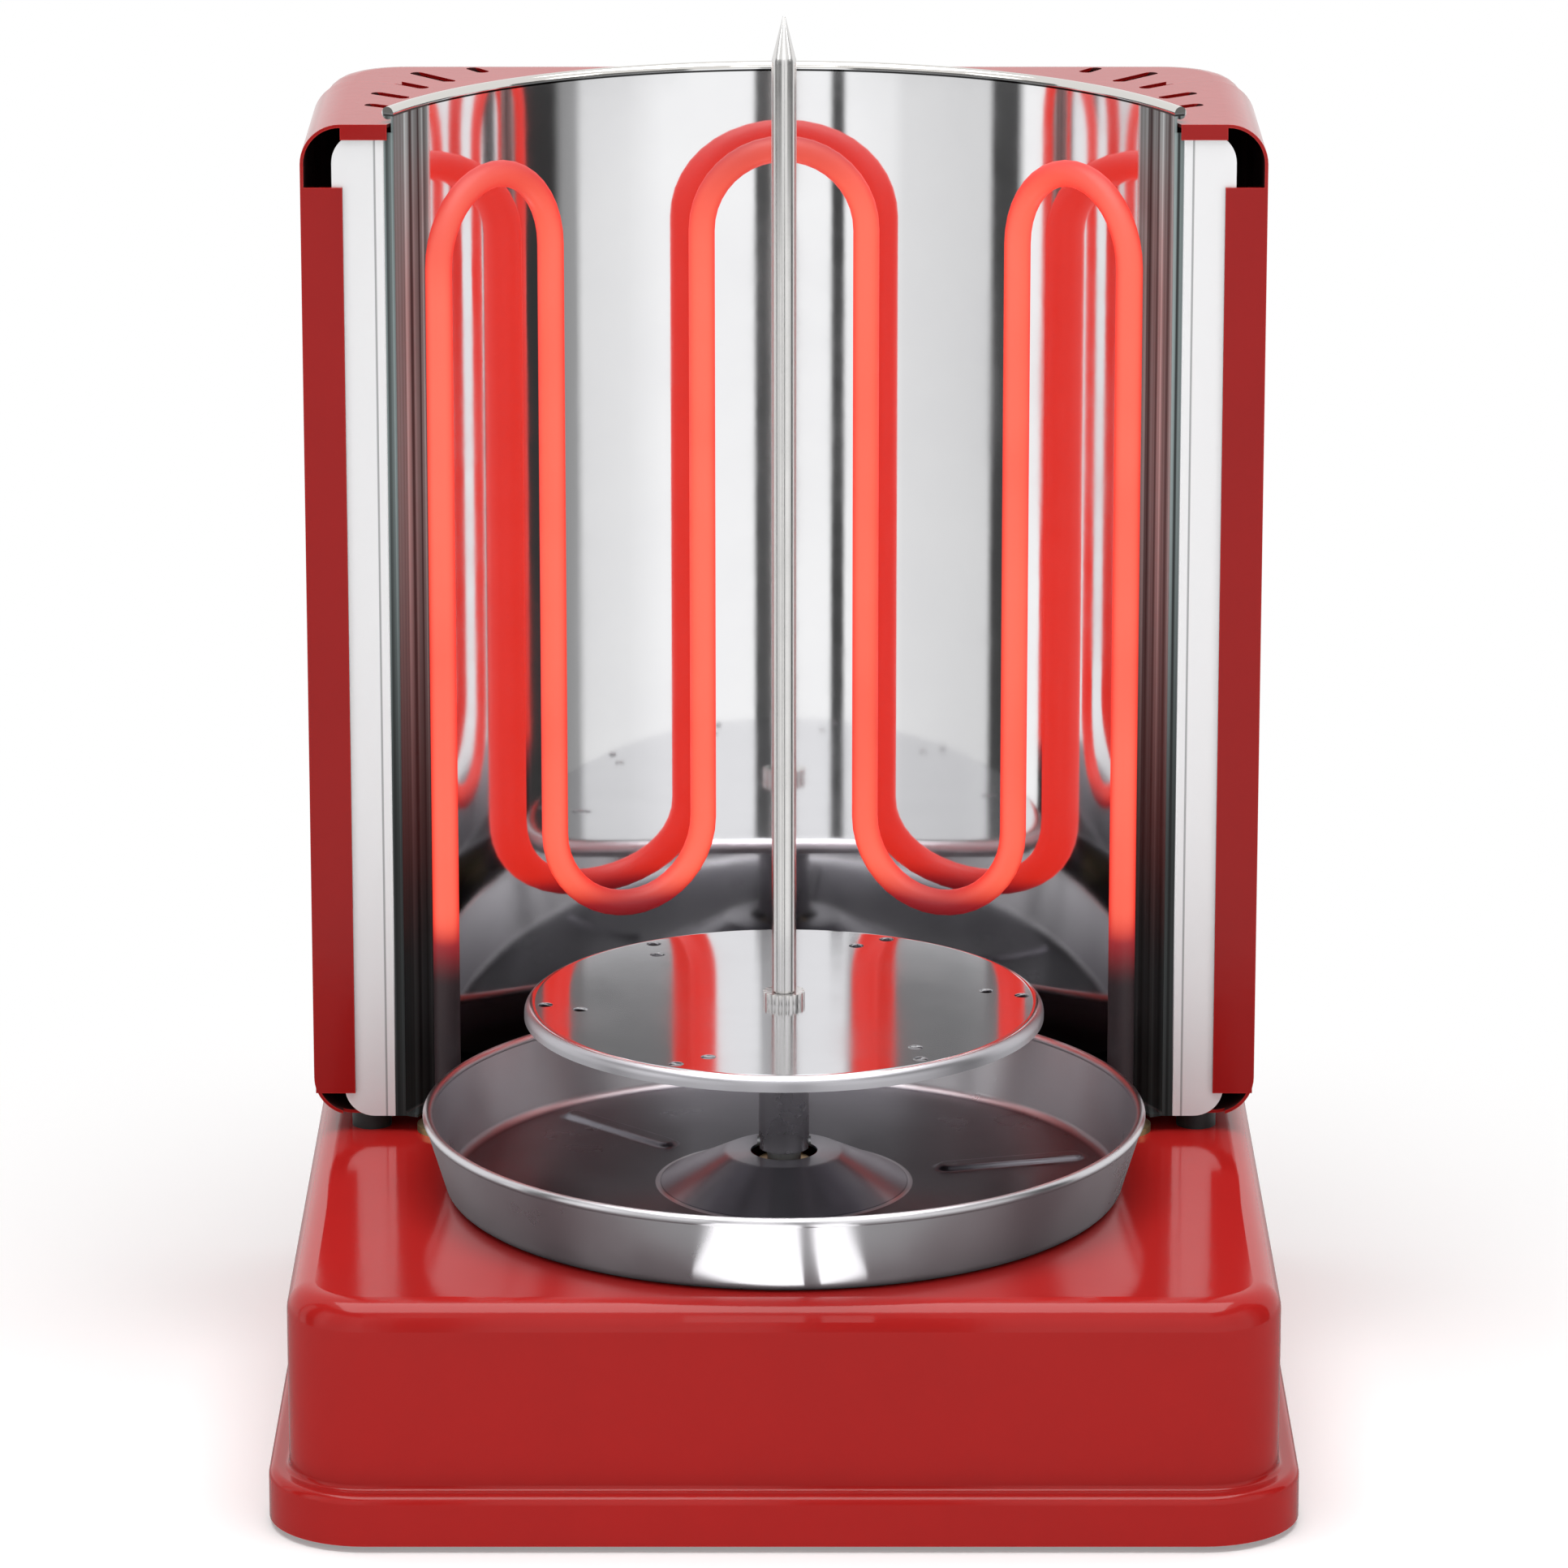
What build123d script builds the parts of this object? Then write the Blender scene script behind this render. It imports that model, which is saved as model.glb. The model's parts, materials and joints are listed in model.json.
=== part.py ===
"""Electric skewer grill, built as it would come apart on a bench.

A red pressed-steel base carries a red casing.  The casing holds a mirror reflector, which bends round a
tubular heater.  A gearmotor in the base turns a vertical spit with its plate over a lift-out drip tray.

Millimetres.  +Z is up, +Y is the back and +X is on the right of someone who faces the open front.  The
origin is on the table, under the middle of the base.
"""
from build123d import *
from math import acos, atan2, cos, degrees, hypot, pi, radians, sin, sqrt, tan
import os

# ------------------------------------------------------------------ base box, feet and bottom plate
base_width = 287.0          # box, without the skirt
base_depth = 272.0
base_height = 71.0          # lower edge of the skirt to the flat top
base_corner = 23.0          # upright corners, outside
base_edge = 8.0             # top edge, outside
base_sheet = 1.0
skirt_step = 6.0            # the skirt stands out this far all round
skirt_height = 15.0
skirt_edge = 2.5
skirt_cove = 1.5            # inside corner where the wall meets the skirt
foot_stand = 2.0            # the feet hold the skirt this far off the table
foot_radius = 10.0
foot_inset = 32.0           # foot centre to the outside of the box
foot_edge = 1.0
foot_bore_depth = 2.6       # counterbore for the screw head
foot_bore_play = 0.8        # radius of the counterbore over the head
foot_screw_length = 14.0
floor_recess = 3.0          # bottom plate above the lower edge of the skirt
floor_sheet = 1.0
floor_gap = 0.3             # bottom plate to skirt
floor_slot_length = 30.0    # air slots in the bottom plate
floor_slot_width = 3.0
floor_slot_pitch = 9.0
floor_slot_rows = 6
floor_slot_offset = 62.0    # slot rows, each side of the middle
post_radius = 4.5
post_thread = 14.0          # depth of the thread in each post

# ------------------------------------------------------------------ casing, cover and reflector
axis_setback = 112.0        # front of the box to the spit's axis
casing_inset = 0.5          # sides of the casing, in from the sides of the box
casing_gap = 5.5            # the casing stands this far above the base
casing_height = 306.2
casing_corner = 12.0
casing_sheet = 1.0
casing_setback = 50.0       # spit's axis to the front of the casing
return_width = 12.5         # front flanges of the side walls
return_round = 0.8
return_low_cut = 7.0        # the flanges stop this far from the casing's bottom
return_high_cut = 19.0      # and this far from its top
top_lip = 4.7               # front edge of the top plate, turned down
cover_depth = 40.0          # from the side panels to the cover's back, flush with the base's
cover_inset = 2.3           # the cover's side walls, in from the side panels
cover_corner = 25.0
cover_edge = 10.0
cover_overlap = 12.0        # the cover tucks this far into the side panels
cover_screw_margin = 55.0   # screws to the casing's top and bottom
cover_screw_length = 8.0
vent_count = 5
vent_width = 3.5
vent_angle = 33.5           # first slot, from the side towards the back
vent_step_angle = 5.9
vent_first_gap = 11.3       # first slot to the edge of the casing's cut-out
vent_length = 11.1          # first slot
vent_length_step = 3.1      # each next slot is longer
vent_last_length = 9.6      # but the last is cut short by the cover's back
vent_margin = 11.0          # slots to the cover's back
spacer_radius = 6.0
spacer_inset = 17.0         # spacers to the sides of the casing
spacer_clearance = 0.6      # front spacers to the reflector's wings
spacer_nut_room = 2.0       # rear spacers' nuts to the rear cover
reflector_inset = 17.0      # inside of the reflector to the sides of the casing
reflector_sheet = 0.8
reflector_gap = 0.6         # to the edge of the casing's cut-out
reflector_lift = 5.0        # lower edge above the base
reflector_rise = 5.0        # rolled rim above the casing
rim_roll = 1.9
hem_width = 4.0             # lower edge, turned in
wing_inset = 9.3            # ends of the reflector's front wings to the sides of the casing
wing_corner = 9.0
wing_drop = 1.7             # wings, below the top plate

# ------------------------------------------------------------------ heater
heater_gap = 10.5           # centre line of the legs to the inside of the reflector
heater_tube = 4.0
heater_step_angle = 25.0    # from leg to leg
heater_legs = 6
heater_drop = 19.2          # centre line of the upper bends, below the casing's top
heater_bottom = 58.0        # centre line of the lower bends, above the base
heater_tail = 22.0          # how far the two outer legs reach into the base
fitting_radius = 7.0
fitting_flange = 9.5
fitting_flange_height = 2.0
fitting_length = 14.0
fitting_nut = 11.5
fitting_nut_height = 5.0
terminal_bead = 4.0
terminal_radius = 2.0
terminal_length = 12.0

# ------------------------------------------------------------------ drip tray and spit
tray_gap = 1.06             # rim to the heater's lower bends, as the tray is lifted past them
tray_height = 24.4
tray_lean = 7.2             # the wall leans out this far
tray_sheet = 0.8
tray_bead = 1.5
tray_bend = 4.0
cone_base = 37.5
cone_top = 17.6
cone_height = 10.6
cone_bend = 3.0
cone_play = 2.5             # radius of the cone's hole over the hub
rib_inner_gap = 14.5        # raised ribs in the tray's floor, to the foot of the cone
rib_outer_gap = 5.5         # and to the foot of the wall
rib_width = 9.0
rib_height = 1.6
rib_round = 1.1
rib_count = 3
rib_angle = 20.0
plate_radius = 77.2
plate_top = 57.3            # above the base
plate_edge = 4.5            # turned down
plate_bend = 3.0
plate_sheet = 0.8
plate_hole = 2.25
plate_hole_count = 6
plate_hole_inset = 6.2      # outer holes to the plate's edge
plate_pair_gap = 10.0       # inner holes, inwards of the outer ones
plate_hole_angle = 8.9
plate_pair_angle = 5.0      # each outer hole, behind its inner one
hub_radius = 7.5
hub_rest = 1.0              # the hub's foot above the tray's cone
hub_socket = 36.0
hub_round = 0.6
spit_radius = 3.6
spit_point = 0.4            # radius of the blunted point
spit_shank_radius = 2.9     # lower end, through the collar and the plate
spit_tip = 353.0            # above the base
spit_taper = 13.0
spit_shank = 9.0            # how far its shank is screwed into the hub
collar_radius = 6.2
collar_height = 3.0
collar_grooves = 20
collar_groove = 0.45        # radius of each groove

# ------------------------------------------------------------------ drive
shaft_radius = 5.0
shaft_chamfer = 1.0
pivot_radius = 2.5
cross_pin_radius = 1.5
cross_pin_length = 16.0
cross_pin_rise = 2.0        # pin's middle above the hub's foot
bush_flange = 9.0
bush_flange_height = 1.5
bush_barrel = 6.0
bush_neck = 7.5
bush_rise = 8.0             # top of the bush above the base
gear_module = 0.7
pressure_angle = 20.0
flank_steps = 3             # straight pieces that make up each flank
wheel_teeth = 36
pinion_teeth = 12
tooth_height = 0.8          # share of the module above the pitch circle
tooth_root = 1.1            # and below it
backlash = 0.12
rotor_offset = 24.0         # rotor behind the spit's axis
gearbox_offset = 16.0
gearbox_radius = 32.0
gearbox_wall = 1.0
gearbox_plate = 1.5
gearbox_room = 12.0
gearbox_ear = 0.5           # gearbox cover round the nuts
gear_gap = 1.0              # gears to the gearbox's plates
wheel_thickness = 4.0
pinion_thickness = 3.5
idler_pin_radius = 1.5
rotor_shaft_radius = 1.0
rotor_radius = 14.0
rotor_room = 2.0            # magnet to both ends of the can
can_radius = 24.0
can_height = 18.0
can_wall = 1.0
coil_inner = 16.0
coil_clearance = 0.4
coil_top_gap = 1.0
motor_screw_inset = 10.5    # inside the foot of the tray's cone
motor_screw_angles = (210, 270, 330)

# ------------------------------------------------------------------ controls, inlet and fasteners
panel_height = 45.0         # middle of the rear panel's fittings, above the table
gland_inset = 43.5          # to the left side of the base
gland_bore = 3.6
gland_barrel = 5.8
gland_flange = 8.5
gland_flange_height = 4.0
gland_edge = 1.5
gland_inside = 9.0
gland_nut = 9.5
gland_nut_height = 4.0
switch_inset = 51.5         # outer switch to the right side of the base
switch_pitch = 30.0
switch_width = 15.0         # bezel
switch_length = 23.0
switch_bezel = 1.5
switch_corner = 1.2
switch_body_wall = 1.2
switch_depth = 16.0
rocker_half_length = 8.3
rocker_width = 10.4
rocker_rise = 2.2
rocker_dip = 0.9
rocker_foot = 4.0           # the rocker reaches this far behind the bezel's face
rocker_foot_inset = 0.8     # its foot is shorter than its face, at each end
rocker_pivot_depth = 3.0
rocker_pivot_radius = 1.0
rocker_tilt = 8.0           # each way from level
block_length = 36.0
block_width = 18.0
block_height = 14.0
block_edge = 1.0
block_hole = 2.2
block_hole_depth = 7.0
block_pitch = 12.0
block_side_inset = 85.5     # to the left side of the base
block_rear_inset = 40.0     # to its rear wall
cutout_radius = 8.0
cutout_height = 9.0
cutout_plate = 1.0
cutout_span = 24.0
cutout_strap = 10.0         # width of its strap
cutout_side = 66.0          # to the right of the spit's axis
cutout_back = 90.0          # and behind it
screw_radius = 1.9
screw_head = 3.6
screw_head_height = 2.2
screw_head_round = 0.9
screw_slot_length = 4.0     # arms of the cross slot
screw_slot_width = 0.8
screw_slot_depth = 0.8
screw_end = 1.0             # a bolt stands this far out of its nut
nut_radius = 4.0
nut_height = 3.2
screw_play = 0.15           # radius of a screw hole over its screw
running_play = 0.05         # radius of a bearing over its shaft
socket_play = 0.08          # radius of the hub's socket over the shaft
rest_gap = 0.3              # seats that can't touch face to face
through = 5.0               # how far a cutting tool runs past what it cuts
nearly = 0.01               # two places this close are taken as one

# ------------------------------------------------------------------ places that follow from them
skirt_low = foot_stand
base_top = skirt_low + base_height
base_under = base_top - base_sheet
floor_low = skirt_low + floor_recess
floor_top = floor_low + floor_sheet
rear_wall = base_depth / 2
axis_y = -base_depth / 2 + axis_setback
foot_places = [(sx * (base_width / 2 - foot_inset), sy * (base_depth / 2 - foot_inset))
               for sx in (-1, 1) for sy in (-1, 1)]

casing_width = base_width - 2 * casing_inset
casing_low = base_top + casing_gap
casing_high = casing_low + casing_height
casing_front = axis_y + casing_setback
cover_back = rear_wall
panel_back = cover_back - cover_depth
reflector_radius = casing_width / 2 - reflector_inset       # inside
well_radius = reflector_radius + reflector_sheet + reflector_gap
wing_outer = casing_width / 2 - wing_inset
wing_front = casing_front + casing_sheet
reflector_low = base_top + reflector_lift
rim_top = casing_high + reflector_rise
notch_back = wing_front + reflector_sheet + reflector_gap
spacer_rows = (notch_back + spacer_clearance + spacer_radius,
               panel_back - cover_overlap - spacer_nut_room - nut_radius)
spacer_places = [(side * (casing_width / 2 - spacer_inset), row) for side in (-1, 1)
                 for row in spacer_rows]

heater_radius = reflector_radius - heater_gap               # legs, from the spit's axis
heater_inner = heater_radius * cos(radians(heater_step_angle / 2)) - heater_tube
tray_rim_radius = heater_inner - tray_gap
tray_floor_radius = tray_rim_radius - tray_lean
cone_hole = hub_radius + cone_play
plate_outer_circle = plate_radius - plate_hole_inset
plate_inner_circle = plate_outer_circle - plate_pair_gap
tray_floor_top = base_top + tray_sheet
hub_low = base_top + cone_height + hub_rest
hub_high = base_top + plate_top - plate_sheet
collar_low = base_top + plate_top
collar_high = collar_low + collar_height
shaft_high = hub_low + hub_socket - rest_gap
cross_pin_z = hub_low + cross_pin_rise

cover_low = base_under - gearbox_plate          # underside of the gearbox's top plate
case_floor_top = cover_low - gearbox_room
case_low = case_floor_top - gearbox_plate
can_low = case_low - can_height
wheel_high = cover_low - gear_gap
wheel_low = wheel_high - wheel_thickness
pinion_low = case_floor_top + gear_gap
pinion_high = pinion_low + pinion_thickness
gear_spacing = gear_module * (wheel_teeth + pinion_teeth) / 2
idler_x = sqrt(gear_spacing ** 2 - (rotor_offset / 2) ** 2)
idler_y = rotor_offset / 2
motor_screw_circle = cone_base - motor_screw_inset
motor_screw_places = [(motor_screw_circle * cos(radians(a)), axis_y + motor_screw_circle * sin(radians(a)))
                      for a in motor_screw_angles]

gland_x = -(base_width / 2 - gland_inset)
switch_x = (base_width / 2 - switch_inset - switch_pitch, base_width / 2 - switch_inset)
block_place = (-(base_width / 2 - block_side_inset), rear_wall - block_rear_inset)
cutout_place = (cutout_side, axis_y + cutout_back)


# ------------------------------------------------------------------ shaping helpers
def disc(radius, low, high, x=0.0, y=axis_y):
    """Upright round bar from low to high, on the spit's axis unless another place is given."""
    return Pos(x, y, (low + high) / 2) * Cylinder(radius, high - low)


def ring(inner, outer, low, high, x=0.0, y=axis_y):
    """Upright tube from low to high."""
    return disc(outer, low, high, x, y) - disc(inner, low - through, high + through, x, y)


def hexagon(across_corners, low, high, x, y):
    """Upright hexagonal bar whose corners lie on a circle of the given radius."""
    flat = Pos(x, y, low) * RegularPolygon(across_corners, 6)
    return extrude(flat, amount=high - low)


def block(x0, x1, y0, y1, z0, z1):
    """Square-edged block between two corners."""
    return Pos((x0 + x1) / 2, (y0 + y1) / 2, (z0 + z1) / 2) * Box(x1 - x0, y1 - y0, z1 - z0)


def rounded_block(width, depth, low, high, corner, edge=0.0):
    """Block with rounded upright corners and, with an edge radius, a rounded top edge."""
    solid = extrude(Pos(0, 0, low) * RectangleRounded(width, depth, corner), amount=high - low)
    if edge:
        solid = fillet(solid.edges().group_by(Axis.Z)[-1], edge)
    return solid


def offset_corners(points, gap):
    """Corners of an open outline moved by gap to the left of its direction, with mitred corners."""
    moved = []
    last = len(points) - 1
    for i, (u, v) in enumerate(points):
        before = points[max(i - 1, 0)], points[max(i, 1)]
        after = points[min(i, last - 1)], points[min(i + 1, last)]
        normals = []
        for (u0, v0), (u1, v1) in (before, after):
            run = hypot(u1 - u0, v1 - v0)
            normals.append((-(v1 - v0) / run, (u1 - u0) / run))
        (a, b), (c, d) = normals
        scale = gap / (1 + a * c + b * d)
        moved.append((u + (a + c) * scale, v + (b + d) * scale))
    return moved


def bent_sheet(points, bends, sheet, low):
    """Round part spun from a bent sheet; its section follows the points (radius, height above low).

    The sheet lies to the left of the outline's direction, and bends gives the radius of each corner on
    the outline itself.
    """
    other = offset_corners(points, sheet)
    other_bends = []
    for i, bend in enumerate(bends):
        (u0, v0), (u1, v1), (u2, v2) = points[i:i + 3]
        left_turn = (u1 - u0) * (v2 - v1) - (v1 - v0) * (u2 - u1) > 0
        other_bends.append(bend - sheet if left_turn else bend + sheet)
    near = [(u, 0, v) for u, v in points]
    far = [(u, 0, v) for u, v in other]
    outline = [FilletPolyline(*near, radius=bends), FilletPolyline(*far, radius=other_bends),
               Line(near[0], far[0]), Line(near[-1], far[-1])]
    face = make_face(Curve() + outline)
    return Pos(0, axis_y, low) * revolve(face, axis=Axis.Z, revolution_arc=360)


def spun_bead(radius, centre_radius, height):
    """Ring with a round section, such as a rolled rim."""
    return Pos(0, axis_y, height) * Torus(centre_radius, radius)


def screw(length, x, y, seat, up=1):
    """Pan-head screw with a cross slot: head on its seat, shank away from it, upright or hanging."""
    shank = Pos(0, 0, -length / 2) * Cylinder(screw_radius, length)
    head = Pos(0, 0, screw_head_height / 2) * Cylinder(screw_head, screw_head_height)
    head = fillet(head.edges().group_by(Axis.Z)[-1], screw_head_round)
    for turn in (0, 90):
        arm = Rot(Z=turn) * Box(screw_slot_length, screw_slot_width, 2 * screw_slot_depth)
        head -= Pos(0, 0, screw_head_height) * arm
    return Pos(x, y, seat) * Rot(X=0 if up > 0 else 180) * (head + shank)


def drill(solid, places, radius, low, high):
    """Upright holes through a solid at each place."""
    for x, y in places:
        solid -= disc(radius, low - through, high + through, x, y)
    return solid


def gear_phase(fixed_phase, fixed_teeth, direction, teeth):
    """Angle of a gear whose gaps meet the teeth of another that lies back along the direction."""
    share = (direction - fixed_phase) * fixed_teeth / 360
    return direction + 180 - (0.5 - share) * 360 / teeth


def gear(teeth, low, high, x, y, phase):
    """Spur gear with involute flanks, one tooth centred on the phase angle."""
    pitch = gear_module * teeth / 2
    pressed = radians(pressure_angle)
    base = pitch * cos(pressed)
    tip = pitch + tooth_height * gear_module
    root = pitch - tooth_root * gear_module
    half_tooth = (pi * gear_module / 2 - backlash) / (2 * pitch)
    flank = []
    for step in range(flank_steps + 1):
        radius = max(base, root) + (tip - max(base, root)) * step / flank_steps
        pressure = acos(min(base / radius, 1))
        involute = tan(pressure) - pressure
        flank.append((radius, half_tooth + tan(pressed) - pressed - involute))
    flank.insert(0, (root, flank[0][1]))
    corners = []
    for tooth in range(teeth):
        centre = radians(phase) + 2 * pi * tooth / teeth
        for radius, half in flank:
            corners.append((radius * cos(centre - half), radius * sin(centre - half)))
        for radius, half in reversed(flank):
            corners.append((radius * cos(centre + half), radius * sin(centre + half)))
    outline = make_face(Polyline(*corners, close=True))
    return Pos(x, y, low) * extrude(outline, amount=high - low)


# ------------------------------------------------------------------ base
def make_base_shell():
    """Pressed box open below: rounded top edge, stepped skirt and all its openings."""
    sheet = base_sheet
    skirt_width = base_width + 2 * skirt_step
    skirt_depth = base_depth + 2 * skirt_step
    skirt_corner = base_corner + skirt_step
    outside = rounded_block(base_width, base_depth, skirt_low, base_top, base_corner, base_edge)
    skirt_high = skirt_low + skirt_height
    outside += rounded_block(skirt_width, skirt_depth, skirt_low, skirt_high, skirt_corner, skirt_edge)
    cove = [e for e in outside.edges() if abs(e.center().Z - skirt_high) < nearly
            and abs(e.center().X) < base_width / 2 + nearly and abs(e.center().Y) < base_depth / 2 + nearly]
    outside = fillet(cove, skirt_cove)
    inside = rounded_block(base_width - 2 * sheet, base_depth - 2 * sheet, skirt_low, base_under,
                           base_corner - sheet, base_edge - sheet)
    inside += rounded_block(skirt_width - 2 * sheet, skirt_depth - 2 * sheet, skirt_low - through,
                            skirt_high - sheet, skirt_corner - sheet, skirt_edge - sheet)
    shell = outside - inside
    shell = drill(shell, [(0, axis_y)], bush_barrel + running_play, base_under, base_top)
    shell = drill(shell, heater_leg_places()[::heater_legs - 1], fitting_radius + screw_play,
                  base_under, base_top)
    shell = drill(shell, motor_screw_places + spacer_places, screw_radius + screw_play,
                  base_under, base_top)
    shell -= rear_hole(gland_barrel + screw_play, gland_x)
    for x in switch_x:
        half_width = switch_width / 2 - switch_body_wall + screw_play
        half_length = switch_length / 2 - switch_body_wall + screw_play
        shell -= block(x - half_width, x + half_width, rear_wall - through, rear_wall + through,
                       panel_height - half_length, panel_height + half_length)
    return shell


def rear_hole(radius, x):
    """Cutting tool for a round hole through the rear wall."""
    return Pos(x, rear_wall, panel_height) * Rot(X=90) * Cylinder(radius, 2 * through)


def make_bottom_plate():
    """Flat plate with air slots that closes the base inside its skirt."""
    inset = 2 * (skirt_step - base_sheet - floor_gap)
    corner = base_corner + skirt_step - base_sheet - floor_gap
    plate = rounded_block(base_width + inset, base_depth + inset, floor_low, floor_top, corner)
    for side in (-1, 1):
        for row in range(floor_slot_rows):
            y = (row - (floor_slot_rows - 1) / 2) * floor_slot_pitch
            slot = Pos(side * floor_slot_offset, y, floor_low - through)
            slot = slot * SlotOverall(floor_slot_length, floor_slot_width)
            plate -= extrude(slot, amount=2 * through + floor_sheet)
    return drill(plate, foot_places, screw_radius + screw_play, floor_low, floor_top)


def make_corner_posts():
    """Four threaded posts between the base's top and its bottom plate."""
    posts = []
    for x, y in foot_places:
        post = disc(post_radius, floor_top, base_under, x, y)
        posts.append(post - disc(screw_radius + running_play, floor_top - through,
                                 floor_top + post_thread, x, y))
    return Compound(children=posts)


def make_rubber_feet():
    """Four feet with a counterbore for the screw's head."""
    feet = []
    for x, y in foot_places:
        foot = disc(foot_radius, 0, floor_low, x, y)
        foot = fillet(foot.edges().group_by(Axis.Z)[0], foot_edge)
        foot -= disc(screw_radius + screw_play, -through, floor_low + through, x, y)
        foot -= disc(screw_head + foot_bore_play, -through, foot_bore_depth, x, y)
        feet.append(foot)
    return Compound(children=feet)


def make_foot_screws():
    """Screws that hold each foot and the bottom plate to a post."""
    return Compound(children=[screw(foot_screw_length, x, y, foot_bore_depth, up=-1)
                              for x, y in foot_places])


# ------------------------------------------------------------------ casing
def tube(width, low, high, corner, front, back):
    """Solid bar along Y with a rounded rectangular section."""
    section = Pos(0, front, (low + high) / 2) * Rot(X=90) * RectangleRounded(width, high - low, corner)
    return extrude(section, amount=back - front, dir=(0, 1, 0))


def vent_slots():
    """Cutting tools for the air slots, which point at the spit's axis, in both rear corners."""
    slots = []
    reach = cover_back - vent_margin - axis_y
    first = well_radius + vent_first_gap
    last = reach / sin(radians(vent_angle + (vent_count - 1) * vent_step_angle)) - vent_last_length
    for k in range(vent_count):
        angle = vent_angle + k * vent_step_angle
        inner = first + (last - first) * k / (vent_count - 1)
        outer = min(inner + vent_length + k * vent_length_step, reach / sin(radians(angle)))
        for turn in (angle, 180 - angle):
            flat = Pos(0, axis_y, casing_high - through) * Rot(Z=turn) * Pos((inner + outer) / 2, 0)
            flat = flat * SlotOverall(outer - inner, vent_width)
            slots.append(extrude(flat, amount=2 * through))
    return slots


def make_side_panel(side):
    """One side of the casing: a sheet bent to a C, with a front flange and a lip on its top plate."""
    sheet = casing_sheet
    half = casing_width / 2
    panel = tube(casing_width, casing_low, casing_high, casing_corner, casing_front, panel_back)
    panel -= tube(casing_width - 2 * sheet, casing_low + sheet, casing_high - sheet,
                  casing_corner - sheet, casing_front - through, panel_back + through)
    flange = block(half - return_width, half, casing_front, casing_front + sheet,
                   casing_low + return_low_cut, casing_high - return_high_cut)
    flange = fillet(flange.edges().filter_by(Axis.Z).sort_by(Axis.Y)[0:2].sort_by(Axis.X)[-1],
                    return_round)
    lip_inner = sqrt(well_radius ** 2 - casing_setback ** 2)
    lip = block(lip_inner, half - casing_corner, casing_front, casing_front + sheet,
                casing_high - top_lip, casing_high - sheet / 2)
    panel += [flange, lip]
    panel -= disc(well_radius, casing_low - through, casing_high + through)
    panel -= block(-half, wing_outer + reflector_gap, casing_front - through, notch_back,
                   casing_low - through, casing_low + sheet + reflector_gap)
    panel -= block(-half - through, 0, casing_front - through, panel_back + through,
                   casing_low - through, casing_high + through)
    panel -= vent_slots()
    panel = drill(panel, spacer_places, screw_radius + screw_play, casing_low, casing_low + sheet)
    panel -= cover_screw_holes()
    return panel if side > 0 else mirror(panel, Plane.YZ)


def cover_screw_seats():
    """Heights of the screws in each side of the casing."""
    return (casing_low + cover_screw_margin, casing_high - cover_screw_margin)


def cover_screw_holes():
    """Cutting tools for the side screws that join side panels and cover."""
    y = panel_back - cover_overlap / 2
    reach = casing_width + 2 * through
    return [Pos(0, y, z) * Rot(Y=90) * Cylinder(screw_radius + screw_play, reach)
            for z in cover_screw_seats()]


def cover_block(grow, front):
    """The rear cover's outer form, made smaller all round by grow."""
    width = casing_width - 2 * cover_inset - 2 * grow
    low = casing_low + casing_sheet + grow
    high = casing_high - casing_sheet - grow
    back = cover_back - grow
    plan = Pos(0, (front + back) / 2, low) * Rectangle(width, back - front)
    plan = fillet(plan.vertices().group_by(Axis.Y)[-1], cover_corner - grow)
    solid = extrude(plan, amount=high - low)
    rims = solid.edges().group_by(Axis.Z)[0] + solid.edges().group_by(Axis.Z)[-1]
    rims = [e for e in rims if e.center().Y > front + nearly]
    return fillet(rims, cover_edge - grow)


def make_rear_cover():
    """Deep cover with rounded rear corners; thickened strips at its front take the side screws."""
    front = panel_back - cover_overlap
    cover = cover_block(0, front) - cover_block(casing_sheet, front - through)
    half = casing_width / 2 - casing_sheet
    low = casing_low + casing_corner + casing_sheet
    high = casing_high - casing_corner - casing_sheet
    strip = block(half - cover_inset, half, front, panel_back - casing_sheet, low, high)
    cover += [strip, mirror(strip, Plane.YZ)]
    cover -= disc(well_radius, casing_low - through, casing_high + through)
    return cover - vent_slots() - cover_screw_holes()


def make_cover_screws():
    """Screws through both sides of the casing into the rear cover."""
    y = panel_back - cover_overlap / 2
    screws = []
    for side in (-1, 1):
        for z in cover_screw_seats():
            turned = Rot(Y=90 * side) * screw(cover_screw_length, 0, 0, 0)
            screws.append(Pos(side * casing_width / 2, y, z) * turned)
    return Compound(children=screws)


def make_casing_spacers():
    """Black washers that hold the casing above the hot base."""
    return Compound(children=[ring(screw_radius + screw_play, spacer_radius, base_top, casing_low, x, y)
                              for x, y in spacer_places])


def make_casing_bolts():
    """Bolts from inside the base, through the spacers, into the casing's bottom."""
    grip = base_sheet + casing_gap + casing_sheet + nut_height + screw_end
    return Compound(children=[screw(grip, x, y, base_under, up=-1) for x, y in spacer_places])


def make_casing_nuts():
    """Nuts of those bolts, on the casing's bottom plate."""
    low = casing_low + casing_sheet
    return Compound(children=[hexagon(nut_radius, low, low + nut_height, x, y)
                              - disc(screw_radius + running_play, low - through, low + through, x, y)
                              for x, y in spacer_places])


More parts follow.
